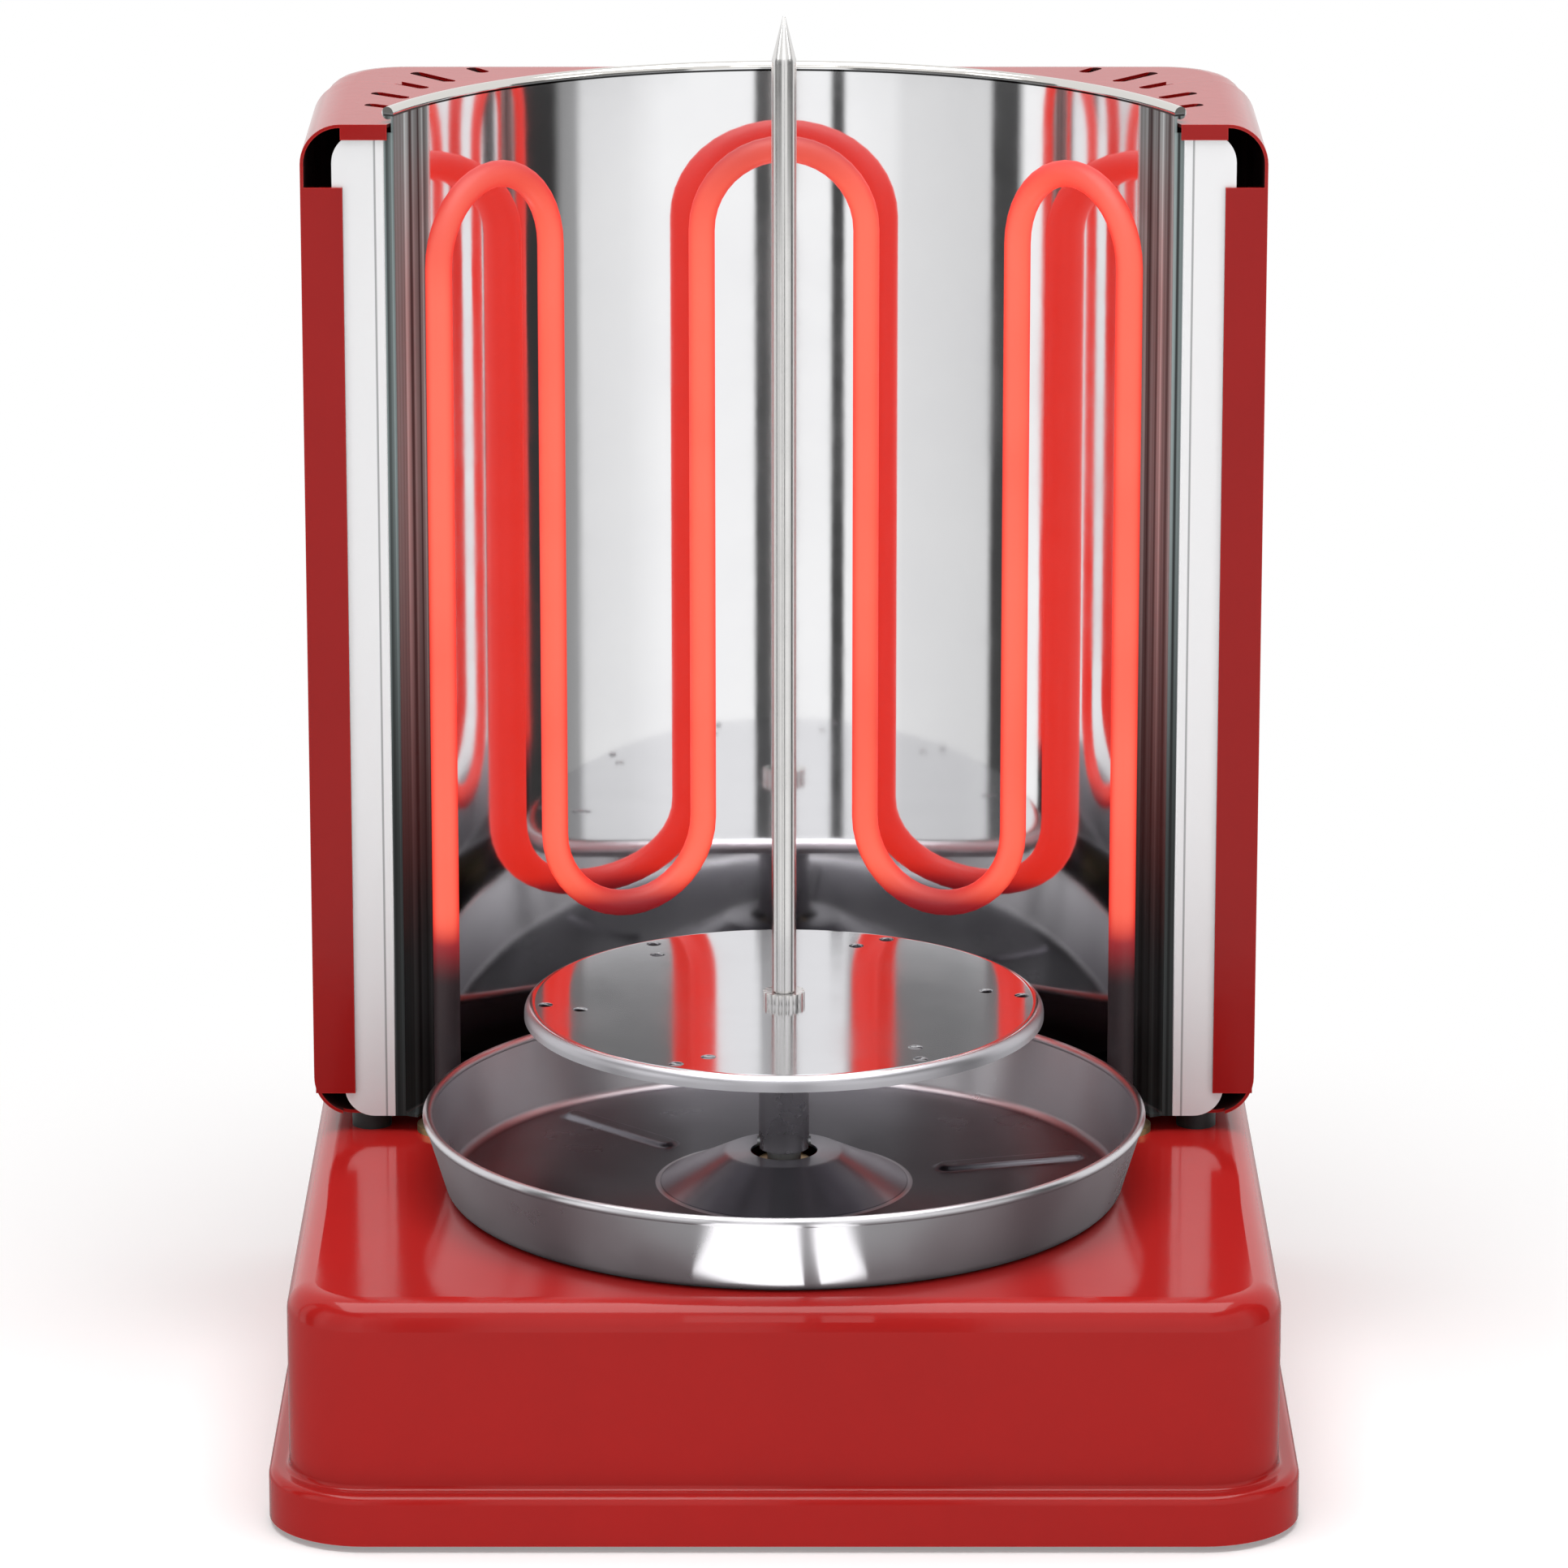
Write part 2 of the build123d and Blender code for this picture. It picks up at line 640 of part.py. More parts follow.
def make_reflector():
    """Mirror sheet bent round the heater, with a rolled top rim, a hem below and flat front wings."""
    sheet = reflector_sheet
    bend = ring(reflector_radius, reflector_radius + sheet, reflector_low, rim_top - rim_roll)
    bend += ring(reflector_radius - hem_width, reflector_radius + sheet / 2, reflector_low,
                 reflector_low + sheet)
    bend += spun_bead(rim_roll, reflector_radius + rim_roll, rim_top - rim_roll)
    reach = 2 * reflector_radius
    bend -= block(-reach, reach, axis_y - reach, wing_front, reflector_low - through, rim_top + through)
    inner = sqrt(reflector_radius ** 2 - (wing_front - axis_y) ** 2)
    high = casing_high - casing_sheet - wing_drop
    for side in (-1, 1):
        flat = Pos(side * (inner + wing_outer) / 2, wing_front, (reflector_low + high) / 2)
        flat = flat * Rot(X=90) * Rectangle(wing_outer - inner, high - reflector_low)
        corners = flat.vertices().group_by(Axis.X)[-1 if side > 0 else 0]
        flat = fillet(corners, wing_corner)
        bend += extrude(flat, amount=sheet, dir=(0, 1, 0))
    return bend


# ------------------------------------------------------------------ heater
def heater_leg_places():
    """Centres of the upright legs, from left to right."""
    places = []
    for k in range(heater_legs):
        angle = radians(90 - (k - (heater_legs - 1) / 2) * heater_step_angle)
        places.append((heater_radius * cos(angle), axis_y + heater_radius * sin(angle)))
    return places


def make_heating_element():
    """One tube: upright legs joined by half-round bends, alternately at the top and the bottom."""
    legs = heater_leg_places()
    bend = heater_radius * sin(radians(heater_step_angle / 2))
    low = base_top + heater_bottom + bend
    high = casing_high - heater_drop - bend
    start = (*legs[0], base_top - heater_tail)
    end = (*legs[-1], base_top - heater_tail)
    pieces = [Line(start, (*legs[0], high))]
    for k in range(heater_legs - 1):
        (x0, y0), (x1, y1) = legs[k], legs[k + 1]
        turn_z, peak = (high, high + bend) if k % 2 == 0 else (low, low - bend)
        next_z = low if k % 2 == 0 else high
        pieces.append(ThreePointArc((x0, y0, turn_z), ((x0 + x1) / 2, (y0 + y1) / 2, peak),
                                    (x1, y1, turn_z)))
        last = end if k == heater_legs - 2 else (x1, y1, next_z)
        pieces.append(Line((x1, y1, turn_z), last))
    path = Wire([piece.edge() for piece in pieces])
    tube_solid = sweep(Plane(start) * Circle(heater_tube), path=path)
    print("heater tube: volume / (section x length) =",
          round(tube_solid.volume / (pi * heater_tube ** 2 * path.length), 4))
    return tube_solid


def heater_end_places():
    """Where the heater's two outer legs go into the base."""
    legs = heater_leg_places()
    return (legs[0], legs[-1])


def make_element_fittings():
    """Flanged brass sleeves on the heater's ends, seated on the base's top."""
    sleeves = []
    for x, y in heater_end_places():
        sleeve = disc(fitting_radius, base_top - fitting_length, base_top, x, y)
        sleeve += disc(fitting_flange, base_top, base_top + fitting_flange_height, x, y)
        sleeves.append(sleeve - disc(heater_tube + running_play, 0, casing_high, x, y))
    return Compound(children=sleeves)


def make_element_nuts():
    """Thin nuts that clamp the sleeves from below."""
    high = base_under
    return Compound(children=[hexagon(fitting_nut, high - fitting_nut_height, high, x, y)
                              - disc(fitting_radius + running_play, 0, base_top, x, y)
                              for x, y in heater_end_places()])


def make_element_terminals():
    """Ceramic end beads with a threaded stud, under the heater's ends."""
    high = base_top - heater_tail
    low = high - terminal_bead
    return Compound(children=[disc(heater_tube, low, high, x, y)
                              + disc(terminal_radius, low - terminal_length, low, x, y)
                              for x, y in heater_end_places()])


# ------------------------------------------------------------------ tray and spit
def make_drip_tray():
    """Spun steel tray with a raised cone in its middle, three pressed ribs and a rolled rim."""
    wall_top = (tray_rim_radius - tray_bead, tray_height - tray_bead)
    outline = [(cone_hole, cone_height - tray_sheet), (cone_top, cone_height - tray_sheet),
               (cone_base, 0), (tray_floor_radius, 0), wall_top]
    tray = bent_sheet(outline, [cone_bend, cone_bend, tray_bend], tray_sheet, base_top)
    tray += spun_bead(tray_bead, tray_rim_radius - tray_bead, base_top + tray_height - tray_bead)
    start = cone_base + rib_inner_gap
    end = tray_floor_radius - rib_outer_gap
    for k in range(rib_count):
        spoke = Pos(0, axis_y, tray_floor_top - tray_sheet / 2) * Rot(Z=rib_angle + k * 360 / rib_count)
        flat = spoke * Pos((start + end) / 2, 0) * SlotOverall(end - start, rib_width)
        rib = extrude(flat, amount=rib_height + tray_sheet / 2)
        rib = fillet(rib.edges().group_by(Axis.Z)[-1], rib_round)
        tray += rib
    return tray


def make_meat_plate():
    """Mirror disc with its edge turned down and pairs of small holes round it."""
    outline = [(plate_radius, -plate_edge), (plate_radius, 0), (spit_shank_radius + running_play, 0)]
    plate = bent_sheet(outline, [plate_bend], plate_sheet, base_top + plate_top)
    places = []
    for k in range(plate_hole_count):
        turn = plate_hole_angle + k * 360 / plate_hole_count
        for radius, angle in ((plate_inner_circle, turn), (plate_outer_circle, turn - plate_pair_angle)):
            places.append((radius * cos(radians(angle)), axis_y + radius * sin(radians(angle))))
    top = base_top + plate_top
    return drill(plate, places, plate_hole, top - plate_sheet, top)


def make_spit_hub():
    """Dark sleeve that drops over the drive shaft; a slot in its foot straddles the cross pin."""
    hub = disc(hub_radius, hub_low, hub_high)
    hub = fillet(hub.edges().group_by(Axis.Z)[-1], hub_round)
    hub -= disc(shaft_radius + socket_play, hub_low - through, hub_low + hub_socket)
    hub -= disc(spit_shank_radius + running_play, hub_low, hub_high + through)
    slot = cross_pin_radius + rest_gap
    return hub - block(-2 * hub_radius, 2 * hub_radius, axis_y - slot, axis_y + slot,
                       hub_low - through, cross_pin_z + cross_pin_radius + running_play)


def make_spit_collar():
    """Knurled nut that clamps the plate to the hub."""
    collar = ring(spit_shank_radius + running_play, collar_radius, collar_low, collar_high)
    for k in range(collar_grooves):
        turn = radians(k * 360 / collar_grooves)
        collar -= disc(collar_groove, collar_low - through, collar_high + through,
                       collar_radius * cos(turn), axis_y + collar_radius * sin(turn))
    return collar


def make_spit_rod():
    """Polished rod with a pointed tip, screwed into the hub."""
    shoulder = collar_high + rest_gap
    tip = base_top + spit_tip
    rod = disc(spit_shank_radius, hub_high - spit_shank, shoulder)
    rod += disc(spit_radius, shoulder, tip - spit_taper)
    return rod + Pos(0, axis_y, tip - spit_taper / 2) * Cone(spit_radius, spit_point, spit_taper)


# ------------------------------------------------------------------ drive
def make_drive_shaft():
    """Output shaft: pivot below, gear seat, and the spigot that carries the hub."""
    shaft = disc(shaft_radius, wheel_low, shaft_high)
    shaft = chamfer(shaft.edges().group_by(Axis.Z)[-1], shaft_chamfer)
    shaft += disc(pivot_radius, case_low + running_play, wheel_low)
    return shaft - cross_bore(cross_pin_radius + running_play, 2 * through + 2 * shaft_radius)


def cross_bore(radius, length):
    """Bar across the shaft at the height of its pin."""
    return Pos(0, axis_y, cross_pin_z) * Rot(Y=90) * Cylinder(radius, length)


def make_drive_cross_pin():
    """Pin through the shaft that turns the hub."""
    return cross_bore(cross_pin_radius, cross_pin_length)


def make_shaft_bush():
    """Flanged bronze bearing in the base's top."""
    bush = disc(bush_barrel, cover_low, base_top)
    bush += disc(bush_flange, base_top, base_top + bush_flange_height)
    bush += disc(bush_neck, base_top, base_top + bush_rise)
    return bush - disc(shaft_radius + running_play, 0, casing_high)


def make_output_gear():
    """Large gear on the output shaft."""
    wheel = gear(wheel_teeth, wheel_low, wheel_high, 0, axis_y, 0)
    return wheel - disc(shaft_radius + running_play, 0, casing_high)


def gear_directions():
    """Directions from the output gear to the idler and from the idler to the rotor, in degrees."""
    to_idler = degrees(atan2(idler_y, idler_x))
    to_rotor = degrees(atan2(rotor_offset - idler_y, -idler_x))
    return to_idler, to_rotor


def make_idler_gear():
    """Double gear: its pinion drives the output gear, its wheel is driven by the rotor."""
    to_idler, _ = gear_directions()
    phase = gear_phase(0, wheel_teeth, to_idler, pinion_teeth)
    y = axis_y + idler_y
    double = gear(wheel_teeth, pinion_low, pinion_high, idler_x, y, phase)
    double += gear(pinion_teeth, pinion_high, wheel_high, idler_x, y, phase)
    return double - disc(idler_pin_radius + running_play, 0, casing_high, idler_x, y)


def make_idler_pin():
    """Fixed pin that the double gear turns on."""
    return disc(idler_pin_radius, case_low, base_under - running_play, idler_x, axis_y + idler_y)


def make_motor_rotor():
    """Magnet, shaft and pinion of the motor."""
    to_idler, to_rotor = gear_directions()
    idler_phase = gear_phase(0, wheel_teeth, to_idler, pinion_teeth)
    phase = gear_phase(idler_phase, wheel_teeth, to_rotor, pinion_teeth)
    y = axis_y + rotor_offset
    rotor = gear(pinion_teeth, pinion_low - gear_gap / 2, pinion_high, 0, y, phase)
    rotor += disc(rotor_shaft_radius, can_low + running_play, pinion_high, 0, y)
    return rotor + disc(rotor_radius, can_low + can_wall + rotor_room, case_low - rotor_room, 0, y)


def make_gearbox_cover():
    """Top plate of the gearbox, screwed to the underside of the base's top."""
    plate = disc(gearbox_radius, cover_low, base_under, 0, axis_y + gearbox_offset)
    plate += disc(motor_screw_circle + nut_radius + gearbox_ear, cover_low, base_under)
    plate = drill(plate, [(0, axis_y)], bush_barrel + running_play, cover_low, base_under)
    plate = drill(plate, motor_screw_places, screw_radius + screw_play, cover_low, base_under)
    return drill(plate, [(idler_x, axis_y + idler_y)], idler_pin_radius + running_play,
                 cover_low, base_under)


def make_gearbox_case():
    """Cup that closes the gear train and carries the lower bearings."""
    y = axis_y + gearbox_offset
    case = disc(gearbox_radius, case_low, cover_low, 0, y)
    case -= disc(gearbox_radius - gearbox_wall, case_floor_top, cover_low + through, 0, y)
    case = drill(case, [(0, axis_y)], pivot_radius + running_play, case_low, case_floor_top)
    case = drill(case, [(idler_x, axis_y + idler_y)], idler_pin_radius + running_play,
                 case_low, case_floor_top)
    return drill(case, [(0, axis_y + rotor_offset)], rotor_shaft_radius + running_play,
                 case_low, case_floor_top)


def make_motor_can():
    """Steel cup of the motor, under the gearbox."""
    y = axis_y + rotor_offset
    can = disc(can_radius, can_low, case_low, 0, y)
    can -= disc(can_radius - can_wall, can_low + can_wall, case_low + through, 0, y)
    return drill(can, [(0, y)], rotor_shaft_radius + running_play, can_low, can_low + can_wall)


def make_motor_coil():
    """Wound bobbin round the magnet, seated on the can's floor."""
    outer = can_radius - can_wall - coil_clearance
    return ring(coil_inner, outer, can_low + can_wall, case_low - coil_top_gap,
                0, axis_y + rotor_offset)


def make_motor_screws():
    """Screws through the base's top that carry the gearbox; the tray's cone covers their heads."""
    grip = base_sheet + gearbox_plate + nut_height + screw_end
    return Compound(children=[screw(grip, x, y, base_top) for x, y in motor_screw_places])


def make_motor_nuts():
    """Their nuts, under the gearbox's top plate."""
    low = cover_low - nut_height
    return Compound(children=[hexagon(nut_radius, low, cover_low, x, y)
                              - disc(screw_radius + running_play, low - through, cover_low + through, x, y)
                              for x, y in motor_screw_places])


# ------------------------------------------------------------------ controls and inlet
def rear_disc(radius, x, front, back):
    """Round bar along Y at the height of the rear panel's fittings."""
    return Pos(x, (front + back) / 2, panel_height) * Rot(X=90) * Cylinder(radius, back - front)


def make_cord_gland():
    """Flanged gland through the rear wall, bored for the mains lead."""
    inner = rear_wall - base_sheet
    gland = rear_disc(gland_barrel, gland_x, inner - gland_inside, rear_wall)
    flange = rear_disc(gland_flange, gland_x, rear_wall, rear_wall + gland_flange_height)
    flange = fillet(flange.edges().group_by(Axis.Y)[-1], gland_edge)
    return gland + flange - rear_disc(gland_bore, gland_x, inner - 2 * gland_inside,
                                      rear_wall + 2 * gland_inside)


def make_gland_nut():
    """Nut of the gland, inside the base."""
    inner = rear_wall - base_sheet
    flat = Pos(gland_x, inner - gland_nut_height, panel_height) * Rot(X=90) * RegularPolygon(gland_nut, 6)
    nut = extrude(flat, amount=gland_nut_height, dir=(0, 1, 0))
    return nut - rear_disc(gland_barrel + running_play, gland_x, inner - 2 * gland_inside,
                           inner + gland_inside)


def make_rocker_frames():
    """Two switch bodies snapped into the rear wall, open towards the back for their rockers."""
    frames = []
    half_width = switch_width / 2 - switch_body_wall
    half_length = switch_length / 2 - switch_body_wall
    for x in switch_x:
        bezel = block(x - switch_width / 2, x + switch_width / 2, rear_wall, rear_wall + switch_bezel,
                      panel_height - switch_length / 2, panel_height + switch_length / 2)
        bezel = fillet(bezel.edges().filter_by(Axis.Y), switch_corner)
        body = block(x - half_width, x + half_width, rear_wall - switch_depth, rear_wall,
                     panel_height - half_length, panel_height + half_length)
        room_width = rocker_width / 2 + rest_gap
        room_length = half_length - switch_body_wall
        room = block(x - room_width, x + room_width, rear_wall - rocker_foot - rocker_pivot_depth,
                     rear_wall + through, panel_height - room_length, panel_height + room_length)
        frames.append(bezel + body - room - rocker_pivot(x, rocker_pivot_radius + running_play, half_width))
    return Compound(children=frames)


def rocker_pivot(x, radius, half_length):
    """Bar along X at the height and depth of a rocker's pivot."""
    y = rear_wall + switch_bezel - rocker_pivot_depth
    return Pos(x, y, panel_height) * Rot(Y=90) * Cylinder(radius, 2 * half_length)


def make_rocker(x):
    """Rocker with a shallow V face and a pivot pin across it, tilted to its off position."""
    face = rear_wall + switch_bezel
    long = rocker_half_length
    foot = long - rocker_foot_inset
    profile = [(-rocker_foot, -foot), (rocker_rise, -long), (rocker_dip, 0), (rocker_rise, long),
               (-rocker_foot, foot)]
    corners = [(x - rocker_width / 2, face + out, panel_height + up) for out, up in profile]
    flat = make_face(Polyline(*corners, close=True))
    pin_reach = switch_width / 2 - switch_body_wall - rest_gap
    rocker = extrude(flat, amount=rocker_width, dir=(1, 0, 0))
    rocker += rocker_pivot(x, rocker_pivot_radius, pin_reach)
    middle = (x, face - rocker_pivot_depth, panel_height)
    return rocker.rotate(Axis(middle, (1, 0, 0)), -rocker_tilt)


def make_terminal_block():
    """Plastic block on the bottom plate where the mains lead meets the wiring."""
    x, y = block_place
    body = block(x - block_length / 2, x + block_length / 2, y - block_width / 2, y + block_width / 2,
                 floor_top, floor_top + block_height)
    high = floor_top + block_height
    body = fillet(body.edges().group_by(Axis.Z)[-1], block_edge)
    for k in (-1, 0, 1):
        body -= disc(block_hole, high - block_hole_depth, high + through, x + k * block_pitch, y)
    return body


def make_thermal_cutout():
    """Disc thermostat on the underside of the base's top."""
    x, y = cutout_place
    strap = block(x - cutout_span / 2, x + cutout_span / 2, y - cutout_strap / 2, y + cutout_strap / 2,
                  base_under - cutout_plate, base_under)
    return strap + disc(cutout_radius, base_under - cutout_height, base_under, x, y)


# ------------------------------------------------------------------ every part, under its own name
parts = {
    "base_shell": make_base_shell,
    "bottom_plate": make_bottom_plate,
    "corner_posts": make_corner_posts,
    "rubber_feet": make_rubber_feet,
    "foot_screws": make_foot_screws,
    "left_side_panel": lambda: make_side_panel(-1),
    "right_side_panel": lambda: make_side_panel(1),
    "rear_cover": make_rear_cover,
    "cover_screws": make_cover_screws,
    "casing_spacers": make_casing_spacers,
    "casing_bolts": make_casing_bolts,
    "casing_nuts": make_casing_nuts,
    "reflector": make_reflector,
    "heating_element": make_heating_element,
    "element_fittings": make_element_fittings,
    "element_nuts": make_element_nuts,
    "element_terminals": make_element_terminals,
    "terminal_block": make_terminal_block,
    "thermal_cutout": make_thermal_cutout,
    "cord_gland": make_cord_gland,
    "gland_nut": make_gland_nut,
    "rocker_frames": make_rocker_frames,
    "heat_rocker": lambda: make_rocker(switch_x[0]),
    "motor_rocker": lambda: make_rocker(switch_x[1]),
    "gearbox_cover": make_gearbox_cover,
    "gearbox_case": make_gearbox_case,
    "motor_can": make_motor_can,
    "motor_coil": make_motor_coil,
    "motor_rotor": make_motor_rotor,
    "motor_screws": make_motor_screws,
    "motor_nuts": make_motor_nuts,
    "idler_pin": make_idler_pin,
    "idler_gear": make_idler_gear,
    "output_gear": make_output_gear,
    "drive_shaft": make_drive_shaft,
    "drive_cross_pin": make_drive_cross_pin,
    "shaft_bush": make_shaft_bush,
    "spit_hub": make_spit_hub,
    "meat_plate": make_meat_plate,
    "spit_collar": make_spit_collar,
    "spit_rod": make_spit_rod,
    "drip_tray": make_drip_tray,
}

os.makedirs("parts", exist_ok=True)
for name, make in parts.items():
    export_step(make(), f"parts/{name}.step")
print(len(parts), "parts written")
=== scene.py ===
# %% [markdown]
# # Electric skewer grill
# A red enamelled base and casing, a mirror sheet bent round a glowing heater tube, and a spit with a plate
# over a drip tray.  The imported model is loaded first.  It is the fixed frame: every piece made below has
# its place in metres in that frame, so nothing needs to be fitted afterwards.

# %% Load the frame
import bmesh
import bpy
import json
from math import acos, asin, cos, degrees, hypot, pi, radians, sin, sqrt, tan
from mathutils import Matrix, Vector


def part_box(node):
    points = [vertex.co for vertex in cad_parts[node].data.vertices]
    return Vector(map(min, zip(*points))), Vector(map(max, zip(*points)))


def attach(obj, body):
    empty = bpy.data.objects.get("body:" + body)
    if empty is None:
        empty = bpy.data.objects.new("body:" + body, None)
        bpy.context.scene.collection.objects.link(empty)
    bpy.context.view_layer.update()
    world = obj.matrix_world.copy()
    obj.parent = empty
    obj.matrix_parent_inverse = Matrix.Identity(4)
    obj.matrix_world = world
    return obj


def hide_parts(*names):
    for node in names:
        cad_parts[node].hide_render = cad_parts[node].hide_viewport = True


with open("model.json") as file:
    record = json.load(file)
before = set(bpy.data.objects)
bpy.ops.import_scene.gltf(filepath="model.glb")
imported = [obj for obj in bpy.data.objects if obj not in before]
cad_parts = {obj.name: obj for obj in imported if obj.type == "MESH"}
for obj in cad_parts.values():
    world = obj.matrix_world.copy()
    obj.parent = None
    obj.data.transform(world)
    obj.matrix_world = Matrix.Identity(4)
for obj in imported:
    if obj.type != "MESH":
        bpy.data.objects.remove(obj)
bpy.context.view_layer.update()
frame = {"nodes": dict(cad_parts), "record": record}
mm = 0.001
past = 10 * mm                  # cutters reach this far past what they cut

# %% [markdown]
# The main places are read from the frame, so the pieces follow the model.  Only small sizes that no box
# gives, such as a sheet's thickness or the radius of an edge, are written here.

# %% Main places
skirt_min, skirt_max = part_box("base_shell")
reflector_min, reflector_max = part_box("reflector")
panel_min, panel_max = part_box("right_side_panel")
cover_min, cover_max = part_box("rear_cover")
plate_min, plate_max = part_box("meat_plate")
rod_min, rod_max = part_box("spit_rod")
tray_min, tray_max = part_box("drip_tray")
collar_min, collar_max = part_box("spit_collar")
hub_min, hub_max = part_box("spit_hub")
spit_x = (rod_min.x + rod_max.x) / 2
spit_y = (rod_min.y + rod_max.y) / 2
base_top = skirt_max.z
plate_radius = (plate_max.x - plate_min.x) / 2
tray_radius = tray_max.x - spit_x
collar_radius = collar_max.x - spit_x
rod_radius = (rod_max.x - rod_min.x) / 2
hub_radius = (hub_max.x - hub_min.x) / 2
print("spit axis at", round(spit_x, 4), round(spit_y, 4), "base top at", round(base_top, 4))

# %% [markdown]
# ## Camera
# The photograph is taken with a long lens from a little above: its edges hardly converge.  The lens and the
# distance come from the round plate and tray, whose ellipses give the slope of the view at two heights.

# %% Camera
camera_distance = 2.308      # in front of the spit's axis
camera_height = 0.757        # above the base's top
camera_lens = 186.3          # for a 36 mm wide sensor
camera_pitch = radians(15.34)

camera_data = bpy.data.cameras.new("camera")
camera_data.lens = camera_lens
camera_data.sensor_width = 36
camera_data.clip_end = 50
camera = bpy.data.objects.new("camera", camera_data)
camera.location = (spit_x, spit_y - camera_distance, base_top + camera_height)
camera.rotation_euler = (pi / 2 - camera_pitch, 0, 0)
bpy.context.scene.collection.objects.link(camera)
bpy.context.scene.camera = camera
bpy.context.scene.view_settings.view_transform = "Standard"
bpy.context.scene.view_settings.look = "None"
print("camera at", tuple(round(v, 3) for v in camera.location))

# %% [markdown]
# ## Light
# Plain soft studio light: a wide panel overhead, one on each side and a weak one in front.  The world is
# white for the camera and in the polished steel, and much weaker as ambient light, so that the enamel keeps
# a deep colour.

# %% Lights
def area_light(name, place, aim, width, height, power):
    """Rectangular panel at a place, turned to a point, with its power in watts."""
    data = bpy.data.lights.new(name, "AREA")
    data.shape = "RECTANGLE"
    data.size = width
    data.size_y = height
    data.energy = power
    lamp = bpy.data.objects.new(name, data)
    lamp.location = place
    lamp.rotation_euler = (Vector(aim) - Vector(place)).to_track_quat("-Z", "Y").to_euler()
    bpy.context.scene.collection.objects.link(lamp)
    return lamp


middle = (0, 0, 0.2)
area_light("overhead_panel", (0, -0.2, 1.9), (0, 0, 0), 1.8, 1.6, 38)
area_light("left_panel", (-1.7, -0.9, 0.7), middle, 0.5, 1.4, 5)
area_light("right_panel", (1.7, -0.9, 0.7), middle, 0.5, 1.4, 5)
area_light("front_panel", (0, -2.6, 1.6), middle, 1.4, 0.7, 4)


# %% World
def add(tree, kind, inputs=None, **settings):
    """Node of a kind; settings are its properties, and inputs gives sockets or values by label or number."""
    node = tree.nodes.new(kind)
    for key, value in settings.items():
        setattr(node, key, value)
    for key, value in (inputs or {}).items():
        if isinstance(value, bpy.types.NodeSocket):
            tree.links.new(value, node.inputs[key])
        else:
            node.inputs[key].default_value = value
    return node


def glow(tree, level, kind="ShaderNodeBackground"):
    """Plain grey light of one level."""
    return add(tree, kind, {"Color": (level, level, level, 1)}).outputs[0]


def choose(tree, factor, no, yes):
    """Mix of two shaders."""
    return add(tree, "ShaderNodeMixShader", {0: factor, 1: no, 2: yes}).outputs[0]


world = bpy.data.worlds.new("studio")
bpy.context.scene.world = world
world.use_nodes = True
world_tree = world.node_tree
world_tree.nodes.clear()
rays = add(world_tree, "ShaderNodeLightPath")
in_steel = choose(world_tree, rays.outputs["Is Glossy Ray"], glow(world_tree, 0.16), glow(world_tree, 1.0))
seen = choose(world_tree, rays.outputs["Is Camera Ray"], in_steel, glow(world_tree, 1.0))
add(world_tree, "ShaderNodeOutputWorld", {"Surface": seen})

# %% [markdown]
# ## Shared shader groups
# Several finishes need the same effects: the faint ripple of sprayed enamel, smudges that change the gloss,
# fine rings left by spinning or turning, and edges where a coat is thinner and which carry a painted
# highlight.  Each is one node group with named inputs.  A group gives back only values that change over the
# surface.

# %% Helpers for node groups
def start_group(name, inputs, outputs, kind="ShaderNodeTree"):
    """New node tree with its input and output; inputs are (name, type, default), outputs (name, type)."""
    tree = bpy.data.node_groups.new(name, kind)
    for label, socket_type, default in inputs:
        socket = tree.interface.new_socket(name=label, in_out="INPUT", socket_type="NodeSocket" + socket_type)
        if default is not None:
            socket.default_value = default
    for label, socket_type in outputs:
        tree.interface.new_socket(name=label, in_out="OUTPUT", socket_type="NodeSocket" + socket_type)
    return tree, tree.nodes.new("NodeGroupInput"), tree.nodes.new("NodeGroupOutput")


def math(tree, operation, *values, clamp=False):
    """Math node; each value is a socket or a number."""
    node = add(tree, "ShaderNodeMath", dict(enumerate(values)), operation=operation, use_clamp=clamp)
    return node.outputs[0]


def noise(tree, vector, scale, detail=3.0, roughness=0.5):
    """Noise value from -0.5 to 0.5, roughly."""
    node = add(tree, "ShaderNodeTexNoise",
               {"Vector": vector, "Scale": scale, "Detail": detail, "Roughness": roughness})
    return math(tree, "SUBTRACT", node.outputs["Fac"], 0.5)


# %% The four groups
def make_ripple_group():
    """Height of sprayed enamel: long soft waves with a finer grain on them."""
    tree, inp, out = start_group(
        "enamel_ripple", [("Vector", "Vector", (0, 0, 0)), ("Scale", "Float", 260.0)], [("Height", "Float")])
    wave = noise(tree, inp.outputs["Vector"], inp.outputs["Scale"], 1.0)
    fine = noise(tree, inp.outputs["Vector"], math(tree, "MULTIPLY", inp.outputs["Scale"], 4.0), 1.0)
    tree.links.new(math(tree, "MULTIPLY_ADD", fine, 0.2, wave), out.inputs["Height"])
    return tree


def make_smudge_group():
    """Roughness that drifts between two values, as on a surface that has been wiped."""
    tree, inp, out = start_group("smudges", [("Vector", "Vector", (0, 0, 0)), ("Scale", "Float", 30.0),
                                             ("Low", "Float", 0.05), ("High", "Float", 0.12)],
                                 [("Roughness", "Float"), ("Mask", "Float")])
    patch = noise(tree, inp.outputs["Vector"], inp.outputs["Scale"], 5.0, 0.6)
    mask = math(tree, "MULTIPLY_ADD", patch, 2.2, 0.5, clamp=True)
    span = math(tree, "SUBTRACT", inp.outputs["High"], inp.outputs["Low"])
    tree.links.new(math(tree, "MULTIPLY_ADD", mask, span, inp.outputs["Low"]), out.inputs["Roughness"])
    tree.links.new(mask, out.inputs["Mask"])
    return tree


